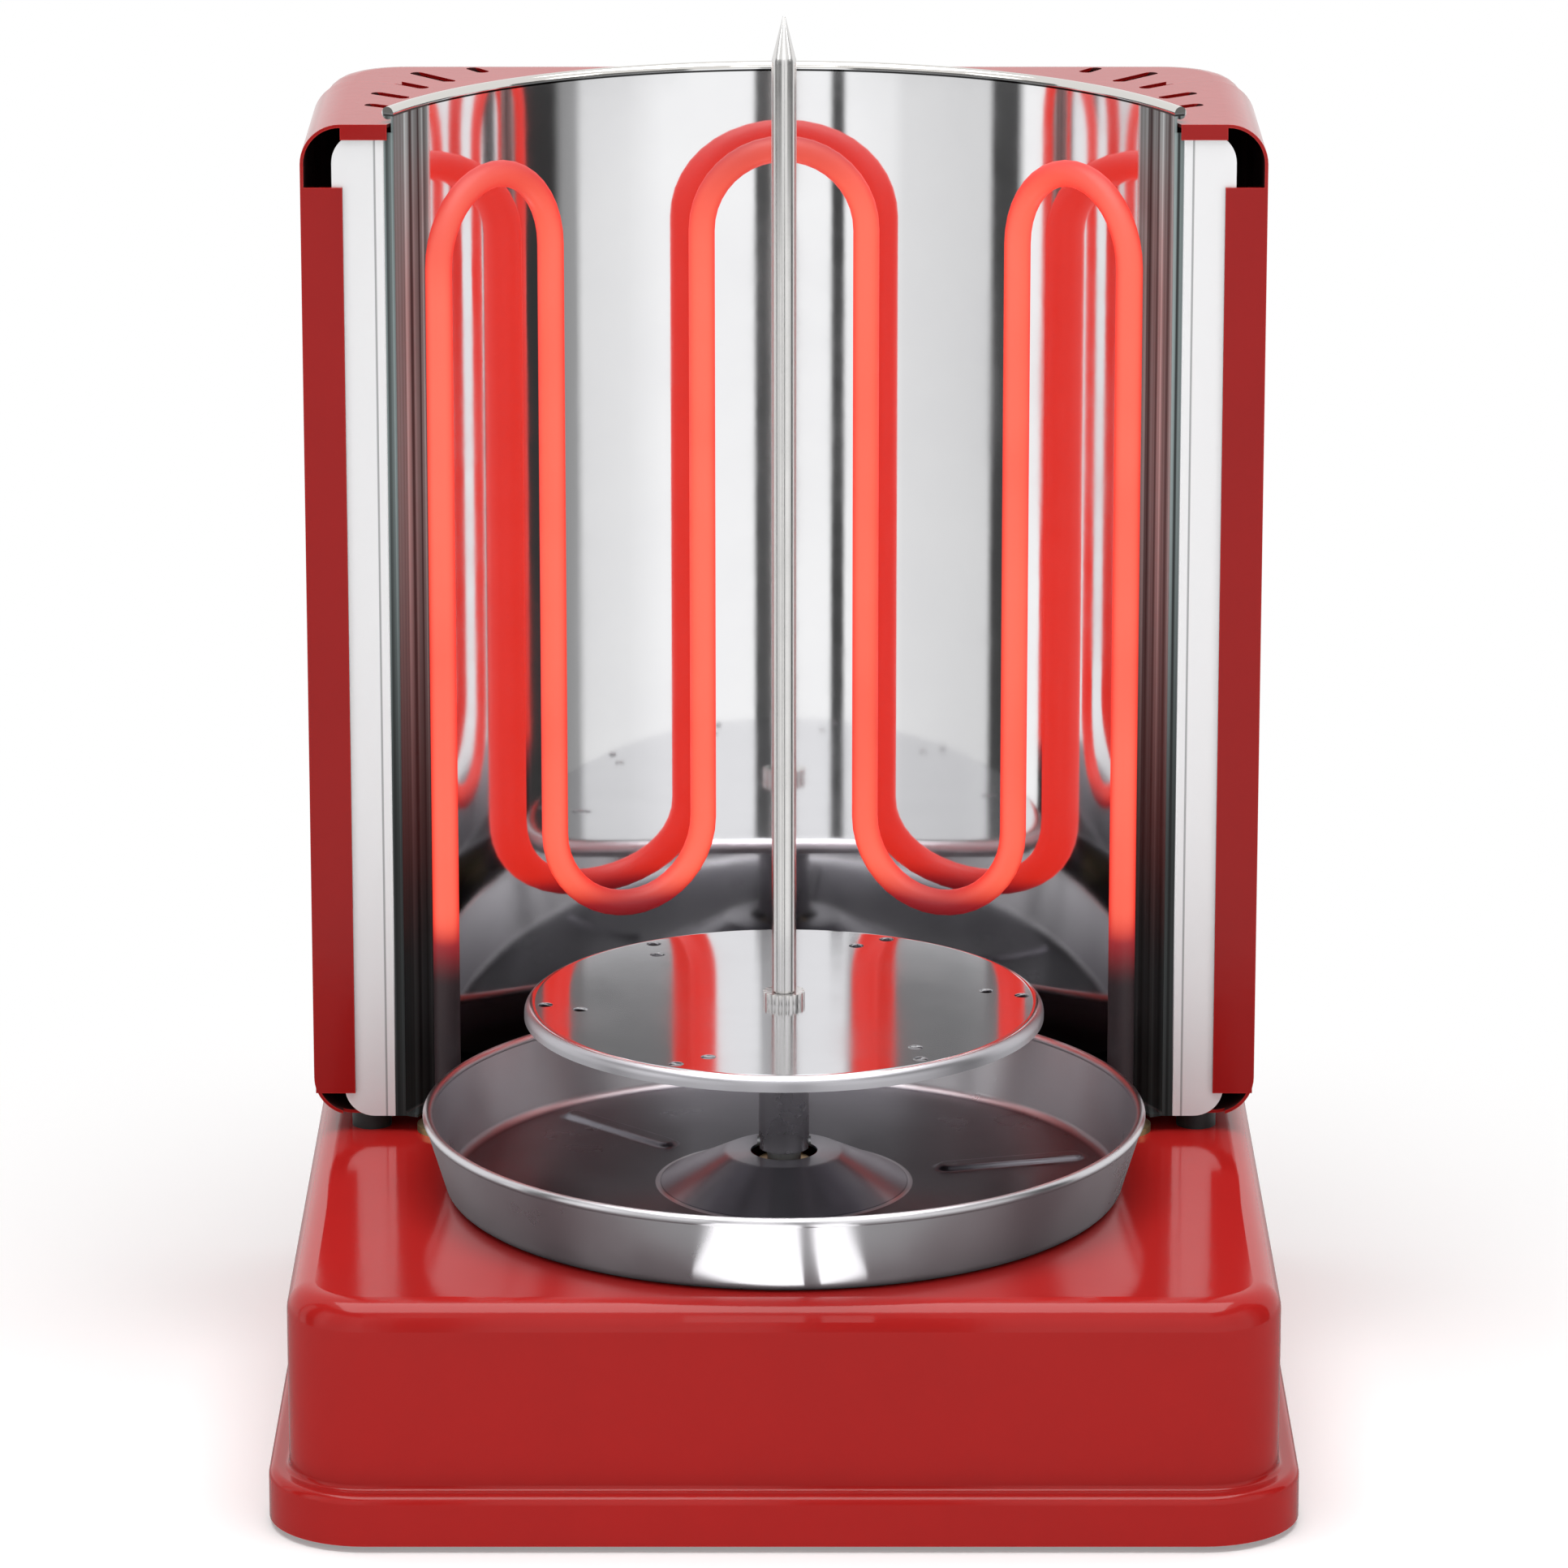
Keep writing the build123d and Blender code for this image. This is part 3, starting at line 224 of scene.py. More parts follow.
def make_rings_group():
    """Fine rings round the Z axis through the vector's origin, as a lathe or a spinning tool leaves."""
    tree, inp, out = start_group(
        "turned_rings", [("Vector", "Vector", (0, 0, 0)), ("Pitch", "Float", 900.0)], [("Height", "Float")])
    parts = add(tree, "ShaderNodeSeparateXYZ", {0: inp.outputs["Vector"]})
    square = math(tree, "MULTIPLY", parts.outputs["X"], parts.outputs["X"])
    square = math(tree, "MULTIPLY_ADD", parts.outputs["Y"], parts.outputs["Y"], square)
    radius = math(tree, "SQRT", square)
    swirl = add(tree, "ShaderNodeCombineXYZ", {"X": radius, "Y": parts.outputs["Z"]})
    rings = noise(tree, swirl.outputs[0], inp.outputs["Pitch"], 4.0, 0.7)
    tree.links.new(rings, out.inputs["Height"])
    return tree


def make_edge_group():
    """Mask of outward edges, where a coat is thin, metal is rubbed bright, and a painted highlight is laid.
    """
    tree, inp, out = start_group("thin_edges", [("Width", "Float", 0.0006), ("Strength", "Float", 1.0)],
                                 [("Mask", "Float")])
    bevel = add(tree, "ShaderNodeBevel", {"Radius": inp.outputs["Width"]}, samples=4)
    normal = add(tree, "ShaderNodeNewGeometry").outputs["Normal"]
    dot = add(tree, "ShaderNodeVectorMath", {0: bevel.outputs[0], 1: normal}, operation="DOT_PRODUCT")
    turned = math(tree, "SUBTRACT", 1.0, dot.outputs["Value"])
    mask = math(tree, "MULTIPLY", turned, math(tree, "MULTIPLY", inp.outputs["Strength"], 6.0), clamp=True)
    tree.links.new(mask, out.inputs["Mask"])
    return tree


ripple_group = make_ripple_group()
smudge_group = make_smudge_group()
rings_group = make_rings_group()
edge_wear_and_highlight_group = make_edge_group()
print("shader groups:", [g.name for g in bpy.data.node_groups])

# %% [markdown]
# ## Finishes
# Every finish starts from one Principled shader.  `finish_of` places the groups it needs round that shader,
# so that each material below only says what is special about it.

# %% A finish from the shared groups
def new_material(name):
    """Empty material and its tree."""
    material = bpy.data.materials.new(name)
    material.use_nodes = True
    material.node_tree.nodes.clear()
    return material, material.node_tree


def place_group(tree, group, **inputs):
    """Group node with its inputs set by name."""
    return add(tree, "ShaderNodeGroup", inputs, node_tree=group)


def finish_of(name, colour, second=None, metallic=0.0, low=0.1, high=0.2, smudge=30.0, coat=0.0,
              ripple=0.0, ripple_scale=260.0, rings=0.0, rings_pitch=900.0, edge=None, edge_width=0.0006,
              edge_strength=0.5, specular=0.5, ior=1.45, brushed=0.0, centre=(0, 0, 0)):
    """Principled material whose colour, gloss and bump come from the shared groups.

    second is the colour of the smudged patches, edge the colour of edges, which stands for a thin coat on
    enamel, rubbed metal on bare metal and, where it is lighter, a painted highlight.  ripple and rings are
    bump heights in metres, of which a finish has one at most.  brushed stretches highlights across rings
    round the Z axis.
    """
    material, tree = new_material(name)
    place = add(tree, "ShaderNodeTexCoord").outputs["Object"]
    vector = add(tree, "ShaderNodeMapping", {"Vector": place, "Location": [-v for v in centre]}).outputs[0]
    smudges = place_group(tree, smudge_group, Vector=vector, Scale=smudge, Low=low, High=high)
    tint = add(tree, "ShaderNodeMix", {0: smudges.outputs["Mask"], 6: (*colour, 1),
                                       7: (*(second or colour), 1)}, data_type="RGBA")
    colour_out = tint.outputs[2]
    # edge colour: a thin coat on enamel, rubbed metal on bare metal, and a painted highlight where it is
    # lighter
    if edge:
        edge_wear_and_highlight_mask = place_group(tree, edge_wear_and_highlight_group, Width=edge_width, Strength=edge_strength)
        blend = add(tree, "ShaderNodeMix", {0: edge_wear_and_highlight_mask.outputs["Mask"], 6: colour_out, 7: (*edge, 1)},
                    data_type="RGBA")
        colour_out = blend.outputs[2]
    shader = add(tree, "ShaderNodeBsdfPrincipled", {
        "Base Color": colour_out, "Roughness": smudges.outputs["Roughness"], "Metallic": metallic,
        "Specular IOR Level": specular, "Coat Weight": coat, "Coat Roughness": 0.03, "IOR": ior,
        "Anisotropic": brushed, "Anisotropic Rotation": 0.25})
    add(tree, "ShaderNodeOutputMaterial", {"Surface": shader.outputs[0]})
    if ripple:
        relief = place_group(tree, ripple_group, Vector=vector, Scale=ripple_scale)
    elif rings:
        relief = place_group(tree, rings_group, Vector=vector, Pitch=rings_pitch)
    if ripple or rings:
        bump = add(tree, "ShaderNodeBump", {"Height": relief.outputs["Height"], "Strength": 1.0,
                                            "Distance": ripple or rings})
        tree.links.new(bump.outputs["Normal"], shader.inputs["Normal"])
    return material


# %% [markdown]
# Some finishes change over a piece: the enamel is dull inside and carries painted shade there, the mirror has
# painted reflection streaks and painted shade at its foot, and the tray has painted shade inside.  These
# helpers find the shader of a finished material and blend another value into one of its inputs where a mask
# says so.

# %% Changing a finish in places
def shader_of(material):
    """Tree and Principled shader of a finish."""
    tree = material.node_tree
    return tree, next(n for n in tree.nodes if n.type == "BSDF_PRINCIPLED")


def blend_into(tree, shader, label, mask, value):
    """Changes one input of a shader to a value, or to a colour, where a mask is 1."""
    socket = shader.inputs[label]
    before = socket.links[0].from_socket if socket.is_linked else socket.default_value
    if socket.type == "RGBA":
        result = add(tree, "ShaderNodeMix", {0: mask, 6: before, 7: value}, data_type="RGBA").outputs[2]
    else:
        result = add(tree, "ShaderNodeMix", {0: mask, 2: before, 3: value}, data_type="FLOAT").outputs[0]
    tree.links.new(result, socket)


def place_parts(tree):
    """X, Y and Z of the object coordinates."""
    place = add(tree, "ShaderNodeTexCoord").outputs["Object"]
    return add(tree, "ShaderNodeSeparateXYZ", {0: place}).outputs


def step(tree, value, low, high, to_low=0.0, to_high=1.0):
    """Smooth change of a value from one level to another."""
    levels = {"Value": value, "From Min": low, "From Max": high, "To Min": to_low, "To Max": to_high}
    return add(tree, "ShaderNodeMapRange", levels, interpolation_type="SMOOTHSTEP").outputs[0]


def band(tree, value, low, high, soft_low, soft_high):
    """Mask between two levels of a value, which starts and ends over short soft stretches."""
    rise = step(tree, value, low, low + soft_low)
    return math(tree, "MULTIPLY", rise, step(tree, value, high, high + soft_high, 1, 0))


# %% Enamel
casing_middle = (0, 0.05, 0.235)
inside_shade_from, inside_shade_to = -12 * mm, -20 * mm     # how far a face lies behind the middle, along its normal


def make_enamel(name, red, green, middle=None):
    """Red stove enamel; with a middle, faces that look towards it are the inside, dull and with a near-black
    painted shade.
    """
    # the lighter red on the edges is partly a thinner coat, partly a painted highlight
    material = finish_of(name, (red, green, 0.9 * green), (0.92 * red, 0.92 * green, 0.83 * green), low=0.09,
                         high=0.14, smudge=18, ripple=0.00002, edge=(0.60, 0.035, 0.03), edge_strength=0.5,
                         ior=1.34)
    if middle is not None:
        tree, shader = shader_of(material)
        place = add(tree, "ShaderNodeTexCoord").outputs["Object"]
        away = add(tree, "ShaderNodeVectorMath", {0: place, 1: middle}, operation="SUBTRACT")
        normal = add(tree, "ShaderNodeNewGeometry").outputs["Normal"]
        dot = add(tree, "ShaderNodeVectorMath", {0: away.outputs[0], 1: normal}, operation="DOT_PRODUCT")
        # painted shade: faces inside the casing turn near-black and dull
        inside = step(tree, dot.outputs["Value"], inside_shade_to, inside_shade_from, 1.0, 0.0)
        blend_into(tree, shader, "Base Color", inside, (0.05, 0.006, 0.006, 1))
        blend_into(tree, shader, "Roughness", inside, 0.8)
    return material


red_enamel = make_enamel("red_enamel", 0.46, 0.016)
# painted shade: the casing's enamel is a darker copy of the same red enamel as the base
casing_enamel = make_enamel("casing_enamel", 0.37, 0.006, casing_middle)
# painted shade in reflections: the tray and the mirror show the base darker and greyer than it is
red_tree, red_shader = shader_of(red_enamel)
blend_into(red_tree, red_shader, "Base Color", add(red_tree, "ShaderNodeLightPath").outputs["Is Glossy Ray"],
           (0.09, 0.055, 0.06, 1))

# %% Mirror steel
# Heights and, for the painted reflection streaks, the wings and the crease, distances to either side of the
# middle.
foot_shade_low, foot_shade_high = 105 * mm, 150 * mm
hem_shade_low, hem_shade_high = reflector_min.z + 12 * mm, reflector_min.z + 30 * mm
streak_light_low, streak_light_high = 150 * mm, 300 * mm        # the painted reflection streaks get brighter between these heights
rim_low = reflector_max.z - 2.1 * mm            # below it a painted shadow line, above it the rolled rim
streak_inner, streak_outer = 105 * mm, 118 * mm
wing_from = 118.2 * mm
crease_inner, crease_outer = 120.6 * mm, 121.2 * mm
soft = 0.2 * mm


def make_mirror():
    """Mirror sheet: painted reflection streaks near its front edges, satin wings, painted shade lines under
    the rim and along the crease, and painted shade towards its foot.
    """
    material = finish_of("mirror_steel", (0.90, 0.90, 0.91), (0.86, 0.86, 0.875), metallic=1.0, low=0.035,
                         high=0.09, smudge=22, ripple=0.000006, ripple_scale=90)
    tree, shader = shader_of(material)
    x, _, z = place_parts(tree)
    aside = math(tree, "ABSOLUTE", x)
    # painted shade: the mirror darkens towards its foot and nearly to black over the hem
    foot = step(tree, z, foot_shade_low, foot_shade_high, 0.65, 0.0)
    blend_into(tree, shader, "Base Color", foot, (0.12, 0.11, 0.125, 1))
    hem_shade = step(tree, z, hem_shade_low, hem_shade_high, 0.9, 0.0)
    blend_into(tree, shader, "Base Color", hem_shade, (0.012, 0.010, 0.013, 1))

    # painted reflection: upright light and dark streaks near the front edges, brighter higher up, with less
    # red, less metallic and rougher
    line = add(tree, "ShaderNodeCombineXYZ", {"X": x})
    lines = noise(tree, line.outputs[0], 620.0, 2.0)
    tone = math(tree, "POWER", math(tree, "MULTIPLY_ADD", lines, 2.4, 0.42, clamp=True), 1.6)
    tone = math(tree, "MULTIPLY", tone, step(tree, z, streak_light_low, streak_light_high, 0.10, 0.85))
    grey = add(tree, "ShaderNodeCombineColor",
               {"Red": math(tree, "MULTIPLY", tone, 0.82), "Green": tone, "Blue": tone})
    below_rim = step(tree, z, rim_low - soft, rim_low, 1.0, 0.0)
    reflection_streaks = band(tree, aside, streak_inner, streak_outer, 6 * soft, 2 * soft)
    reflection_streaks = math(tree, "MULTIPLY", reflection_streaks, below_rim)
    blend_into(tree, shader, "Base Color", reflection_streaks, grey.outputs[0])
    blend_into(tree, shader, "Metallic", reflection_streaks, 0.12)
    blend_into(tree, shader, "Roughness", reflection_streaks, 0.4)

    blend_into(tree, shader, "Base Color", step(tree, z, rim_low, rim_low + 2 * soft), (0.70, 0.68, 0.65, 1))
    # painted shadow: a dark line just under the rolled rim
    rim_shadow_line = math(tree, "MULTIPLY", step(tree, z, rim_low - 4 * soft, rim_low - 3 * soft), below_rim)
    rim_shadow_line = math(tree, "MULTIPLY", rim_shadow_line, step(tree, aside, streak_outer, streak_outer + 2 * soft, 1, 0))
    blend_into(tree, shader, "Base Color", rim_shadow_line, (0.03, 0.03, 0.03, 1))

    satin = step(tree, aside, wing_from, wing_from + 2 * soft)
    blend_into(tree, shader, "Base Color", satin, (0.96, 0.96, 0.97, 1))
    blend_into(tree, shader, "Metallic", satin, 0.3)
    blend_into(tree, shader, "Roughness", satin, 0.3)
    # painted shade: a grey line along the crease where the curved sheet meets the wing
    crease = band(tree, aside, crease_inner, crease_outer, soft, soft)
    blend_into(tree, shader, "Base Color", crease, (0.45, 0.45, 0.46, 1))
    return material


mirror_steel = make_mirror()

# %% Plate, tray and spit
spit_centre = (spit_x, spit_y, 0)
plate_edge = 2.2 * mm                 # turned-down edge, duller than the plate and darker as painted shade
tray_wall_width = 10 * mm             # inside it the tray is darker
cone_foot = 36.5 * mm


def radius_of(tree):
    """Distance from the spit's axis."""
    x, y, _ = place_parts(tree)
    x = math(tree, "SUBTRACT", x, spit_x)
    y = math(tree, "SUBTRACT", y, spit_y)
    return math(tree, "SQRT", math(tree, "MULTIPLY_ADD", x, x, math(tree, "MULTIPLY", y, y)))


plate_steel = finish_of("plate_steel", (0.80, 0.80, 0.82), (0.76, 0.76, 0.78), metallic=1.0, low=0.08,
                        high=0.14, smudge=25, rings=0.000003, rings_pitch=1400, centre=spit_centre)
tree, shader = shader_of(plate_steel)
# painted shade: the turned-down edge is a darker grey, and rougher
rim = step(tree, radius_of(tree), plate_radius - plate_edge, plate_radius - plate_edge + 1 * mm)
blend_into(tree, shader, "Base Color", rim, (0.50, 0.49, 0.52, 1))
blend_into(tree, shader, "Roughness", rim, 0.34)

tray_steel = finish_of("tray_steel", (0.66, 0.645, 0.67), metallic=1.0, low=0.26, high=0.34, smudge=26,
                       rings=0.000012, rings_pitch=2400, brushed=0.85, centre=spit_centre)
tree, shader = shader_of(tray_steel)
radius = radius_of(tree)
wall_foot = tray_radius - tray_wall_width
# painted shade: inside the foot of the wall the floor is nearly black and the cone a mid grey, as under the
# plate
inside = step(tree, radius, wall_foot, wall_foot + 3 * mm, 1.0, 0.0)
blend_into(tree, shader, "Base Color", inside, (0.090, 0.087, 0.098, 1))
cone = step(tree, radius, cone_foot, cone_foot + 0.5 * mm, 1.0, 0.0)
blend_into(tree, shader, "Base Color", cone, (0.38, 0.37, 0.40, 1))
# painted highlight: a pale ring round the foot of the cone
cone_foot_highlight = band(tree, radius, cone_foot + 0.3 * mm, cone_foot + 1.7 * mm, 0.4 * mm, 0.4 * mm)
blend_into(tree, shader, "Base Color", cone_foot_highlight, (0.55, 0.54, 0.56, 1))

spit_steel = finish_of("spit_steel", (0.78, 0.77, 0.76), (0.72, 0.71, 0.70), metallic=1.0, low=0.16,
                       high=0.26, smudge=60, rings=0.000006, rings_pitch=2500, centre=spit_centre)
hub_steel = finish_of("hub_steel", (0.29, 0.28, 0.30), (0.31, 0.30, 0.32), metallic=0.85, low=0.22,
                      high=0.36, smudge=80, rings=0.00001, rings_pitch=2200, edge=(0.22, 0.21, 0.22),
                      centre=spit_centre)

# %% [markdown]
# The other finishes are a table: name, colour, colour of the smudged patches, lowest and highest roughness,
# scale of the smudges, and whatever else the finish has.

# %% Table of the other finishes
# edge colours lighter than their finish are rubbed edges and partly a painted highlight
table = [
    ("zinc_steel", (0.62, 0.63, 0.64), (0.53, 0.54, 0.56), 0.26, 0.42, 90,
     {"metallic": 1.0, "ripple": 0.00002, "ripple_scale": 500, "edge": (0.8, 0.8, 0.8)}),
    ("brass", (0.72, 0.52, 0.24), (0.60, 0.42, 0.18), 0.2, 0.34, 90,
     {"metallic": 1.0, "ripple": 0.00001, "ripple_scale": 700, "edge": (0.86, 0.68, 0.36)}),
    ("bronze", (0.55, 0.36, 0.19), (0.42, 0.26, 0.13), 0.3, 0.45, 120,
     {"metallic": 1.0, "ripple": 0.00002, "ripple_scale": 900, "edge": (0.7, 0.48, 0.27)}),
    ("black_steel", (0.018, 0.018, 0.020), (0.028, 0.028, 0.030), 0.28, 0.4, 60,
     {"ripple": 0.00003, "ripple_scale": 500, "edge": (0.09, 0.09, 0.09)}),
    ("black_rubber", (0.020, 0.020, 0.020), (0.034, 0.033, 0.032), 0.6, 0.85, 90,
     {"ripple": 0.00006, "ripple_scale": 900, "specular": 0.3}),
    ("black_plastic", (0.019, 0.019, 0.020), (0.026, 0.026, 0.027), 0.28, 0.42, 70,
     {"ripple": 0.00003, "ripple_scale": 900, "edge": (0.06, 0.06, 0.06)}),
    ("ceramic", (0.80, 0.77, 0.69), (0.72, 0.68, 0.60), 0.2, 0.4, 90,
     {"ripple": 0.00003, "ripple_scale": 400, "coat": 0.3}),
    ("gear_nylon", (0.80, 0.77, 0.68), (0.73, 0.70, 0.61), 0.38, 0.5, 90,
     {"ripple": 0.00003, "ripple_scale": 600}),
    ("copper_winding", (0.50, 0.19, 0.07), (0.40, 0.14, 0.05), 0.25, 0.4, 120,
     {"metallic": 1.0, "rings": 0.0002, "rings_pitch": 2600}),
    ("magnet", (0.075, 0.075, 0.08), (0.10, 0.10, 0.105), 0.45, 0.6, 90,
     {"metallic": 0.6, "ripple": 0.00004, "ripple_scale": 900})]
for name, colour, second, low, high, smudge, more in table:
    finish_of(name, colour, second, low=low, high=high, smudge=smudge, **more)
print("finishes:", len(bpy.data.materials))

# %% [markdown]
# ## The glowing heater
# The tube glows orange-red where it is folded in front of the mirror and stays dark on the two cold ends
# that go down into the base.  Emission does this, and its strength follows the height, with a slow noise
# because a real tube never glows quite evenly.

# %% Hot tube finish
cold_end_z = base_top + 0.046
hot_from_z = base_top + 0.072
bend_top_z = reflector_max.z - 0.020


def make_hot_tube():
    """Dark oxidised sheath; its glow fades out towards the cold ends and weakens over the upper bends."""
    material = finish_of("hot_tube", (0.055, 0.035, 0.038), (0.035, 0.028, 0.032), low=0.4, high=0.55,
                         smudge=60, ripple=0.00003, ripple_scale=700, specular=0.35)
    tree, shader = shader_of(material)
    place = add(tree, "ShaderNodeTexCoord").outputs["Object"]
    x, _, z = place_parts(tree)
    loss = step(tree, math(tree, "ABSOLUTE", x), 0.030, 0.060, 0.34, 0.12)
    bend = math(tree, "MULTIPLY", step(tree, z, bend_top_z - 0.034, bend_top_z), loss)
    factor = math(tree, "MULTIPLY", step(tree, z, cold_end_z, hot_from_z), math(tree, "SUBTRACT", 1.0, bend))
    drift = noise(tree, place, 14.0, 2.0)
    heat = math(tree, "MULTIPLY", factor, math(tree, "MULTIPLY_ADD", drift, 0.55, 0.86))
    ramp = add(tree, "ShaderNodeValToRGB", {0: heat})
    ramp.color_ramp.elements[0].color = (0, 0, 0, 1)
    ramp.color_ramp.elements[1].color = (0.98, 0.045, 0.014, 1)
    for position, colour in ((0.45, (0.30, 0.006, 0.010, 1)), (0.8, (0.93, 0.028, 0.010, 1))):
        ramp.color_ramp.elements.new(position).color = colour
    tree.links.new(ramp.outputs[0], shader.inputs["Emission Color"])
    # painted highlight: where the tube faces forward and glows strongly, its glow is a brighter orange
    normal = add(tree, "ShaderNodeNewGeometry").outputs["Normal"]
    ahead = add(tree, "ShaderNodeSeparateXYZ", {0: normal}).outputs["Y"]
    front_facing = step(tree, ahead, -0.95, -0.2, 1.0, 0.0)
    front_highlight = math(tree, "MULTIPLY", front_facing, step(tree, heat, 0.4, 0.95))
    blend_into(tree, shader, "Emission Color", front_highlight, (1.0, 0.150, 0.085, 1))
    # painted reflection: polished steel shows the tube a deeper red
    in_steel = add(tree, "ShaderNodeLightPath").outputs["Is Glossy Ray"]
    deeper_in_reflection = math(tree, "MULTIPLY", in_steel, step(tree, heat, 0.3, 0.8))
    blend_into(tree, shader, "Emission Color", deeper_in_reflection, (0.80, 0.022, 0.010, 1))
    shader.inputs["Emission Strength"].default_value = 1.0
    return material


hot_tube = make_hot_tube()

# %% [markdown]
# ## Helpers for meshes
# Most of the grill is sheet metal that was spun or pressed.  Two helpers cover both: `skin` joins loops of
# points with quads, and `lathe` feeds it circles.  Broad bevels and weighted normals keep flat faces flat
# in the reflections, which is what makes enamel and polished steel look right.

# %% Mesh helpers
def mesh_object(name, vertices, faces):
    """Object from points and faces, with its doubles merged and its faces turned outwards."""
    data = bpy.data.meshes.new(name)
    data.from_pydata([tuple(v) for v in vertices], [], faces)
    work = bmesh.new()
    work.from_mesh(data)
    bmesh.ops.remove_doubles(work, verts=work.verts, dist=1e-6)
    bmesh.ops.recalc_face_normals(work, faces=work.faces)
    work.to_mesh(data)
    work.free()
    data.update()
    piece = bpy.data.objects.new(name, data)
    bpy.context.scene.collection.objects.link(piece)
    return piece


def skin(name, loops, closed=True, wrap=False, caps=(False, False)):
    """Quads between loops of equally many points.

    closed joins the ends of each loop, wrap joins the last loop to the first, and caps close the first and
    the last loop with one face each.
    """
    count = len(loops[0])
    points = [p for loop in loops for p in loop]
    faces = []
    rows = len(loops) if wrap else len(loops) - 1
    columns = count if closed else count - 1
    for i in range(rows):
        a, b = i * count, ((i + 1) % len(loops)) * count
        for j in range(columns):
            k = (j + 1) % count
            faces.append((a + j, a + k, b + k, b + j))
    if caps[0]:
        faces.append(tuple(range(count)))
    if caps[1]:
        faces.append(tuple(range((len(loops) - 1) * count, len(loops) * count)))
    return mesh_object(name, points, faces)


def lathe(name, profile, steps=180, centre=(spit_x, spit_y), first=0.0, last=2 * pi, wrap=True):
    """Profile of (radius, z) turned round an upright axis, all the way or from the first to the last angle.

    A wrapped profile is closed.  One that isn't wrapped begins and ends on the axis or stays open.
    """
    full = abs(last - first - 2 * pi) < 1e-9
    angles = [first + (last - first) * k / steps for k in range(steps if full else steps + 1)]
    loops = [[(centre[0] + r * cos(a), centre[1] + r * sin(a), z) for r, z in profile] for a in angles]
    if full:
        return skin(name, loops, closed=wrap, wrap=True)
    return skin(name, loops, closed=wrap, caps=(wrap, wrap))


def arc(centre_u, centre_v, radius, start, end, steps=8):
    """Points of an arc in a profile, both ends included; angles in degrees."""
    return [(centre_u + radius * cos(radians(start + (end - start) * k / steps)),
             centre_v + radius * sin(radians(start + (end - start) * k / steps))) for k in range(steps + 1)]


def apply_modifiers(piece):
    """Turns a piece with live modifiers into one plain mesh."""
    bpy.context.view_layer.update()
    depsgraph = bpy.context.evaluated_depsgraph_get()
    data = bpy.data.meshes.new_from_object(piece.evaluated_get(depsgraph))
    old = piece.data
    piece.modifiers.clear()
    piece.data = data
    if old.users == 0:
        bpy.data.meshes.remove(old)
    return piece


def cut(piece, cutters):
    """Takes the cutters' volume out of a piece and deletes them."""
    for k, cutter in enumerate(cutters):
        knife = piece.modifiers.new(f"cut_{k}", "BOOLEAN")
        knife.object = cutter
        knife.operation = "DIFFERENCE"
        knife.solver = "EXACT"
    apply_modifiers(piece)
    for cutter in cutters:
        bpy.data.objects.remove(cutter)
    return piece


def join(name, pieces):
    """One object from several, whose volumes are united where they overlap."""
    base = pieces[0]
    for k, other in enumerate(pieces[1:]):
        weld = base.modifiers.new(f"join_{k}", "BOOLEAN")
        weld.object = other
        weld.operation = "UNION"
        weld.solver = "EXACT"
    apply_modifiers(base)
    for other in pieces[1:]:
        bpy.data.objects.remove(other)
    base.name = name
    return base


def soften(piece, width, segments=2, angle=35, smooth=35):
    """Rounds sharp edges, shades smoothly and lets large faces rule the normals."""
    if width:
        bevel = piece.modifiers.new("bevel", "BEVEL")
        bevel.width = width
        bevel.segments = segments
        bevel.limit_method = "ANGLE"
        bevel.angle_limit = radians(angle)
        bevel.harden_normals = False
        bevel.use_clamp_overlap = True
    piece.data.shade_smooth()
    apply_modifiers(piece)
    piece.data.shade_smooth()
    piece.data.set_sharp_from_angle(angle=radians(smooth))
    weigh = piece.modifiers.new("weigh", "WEIGHTED_NORMAL")
    weigh.keep_sharp = True
    weigh.weight = 60
    apply_modifiers(piece)
    return piece


def dress(piece, material, slot, body, *nodes):
    """Material, material slot of the record (not used), body it rides on and the nodes it stands for."""
    piece.data.materials.clear()
    piece.data.materials.append(material)
    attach(piece, body)
    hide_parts(*nodes)
    print(f"{piece.name}: {len(piece.data.polygons)} faces")
    return piece


def drum(name, radius, low, high, x, y, steps=48):
    """Plain round cutter."""
    loops = [[(x + radius * cos(2 * pi * k / steps), y + radius * sin(2 * pi * k / steps), z)
              for k in range(steps)] for z in (low, high)]
    return skin(name, loops, caps=(True, True))


def bar(name, radius, start, end, steps=48):
    """Plain round cutter between two points."""
    start, end = Vector(start), Vector(end)
    turn = (end - start).to_track_quat("Z", "Y").to_matrix()
    ring = [turn @ Vector((radius * cos(2 * pi * k / steps), radius * sin(2 * pi * k / steps), 0))
            for k in range(steps)]
    return skin(name, [[start + p for p in ring], [end + p for p in ring]], caps=(True, True))


def slab(name, low, high):
    """Plain box between two corners, used as a cutter or as raw stock."""
    loops = [[(low[0], low[1], z), (high[0], low[1], z), (high[0], high[1], z), (low[0], high[1], z)]
             for z in (low[2], high[2])]
    return skin(name, loops, caps=(True, True))


# %% [markdown]
# ## Patterns made by Geometry Nodes
# Slots, drilled holes and screws repeat along a rule.  Slots and holes are each made by a small tree: it
# makes the points, puts a copy on each, realises them and sets the material.  `run_tree` puts a tree on an
# empty mesh, sets its inputs by their identifiers, and turns the result into a plain mesh.

# %% Helpers for geometry trees
def start_tree(name, inputs):
    """New geometry tree; inputs are (name, type, default).  Gives the tree, its input and its output."""
    return start_group(name, inputs, [("Geometry", "Geometry")], "GeometryNodeTree")


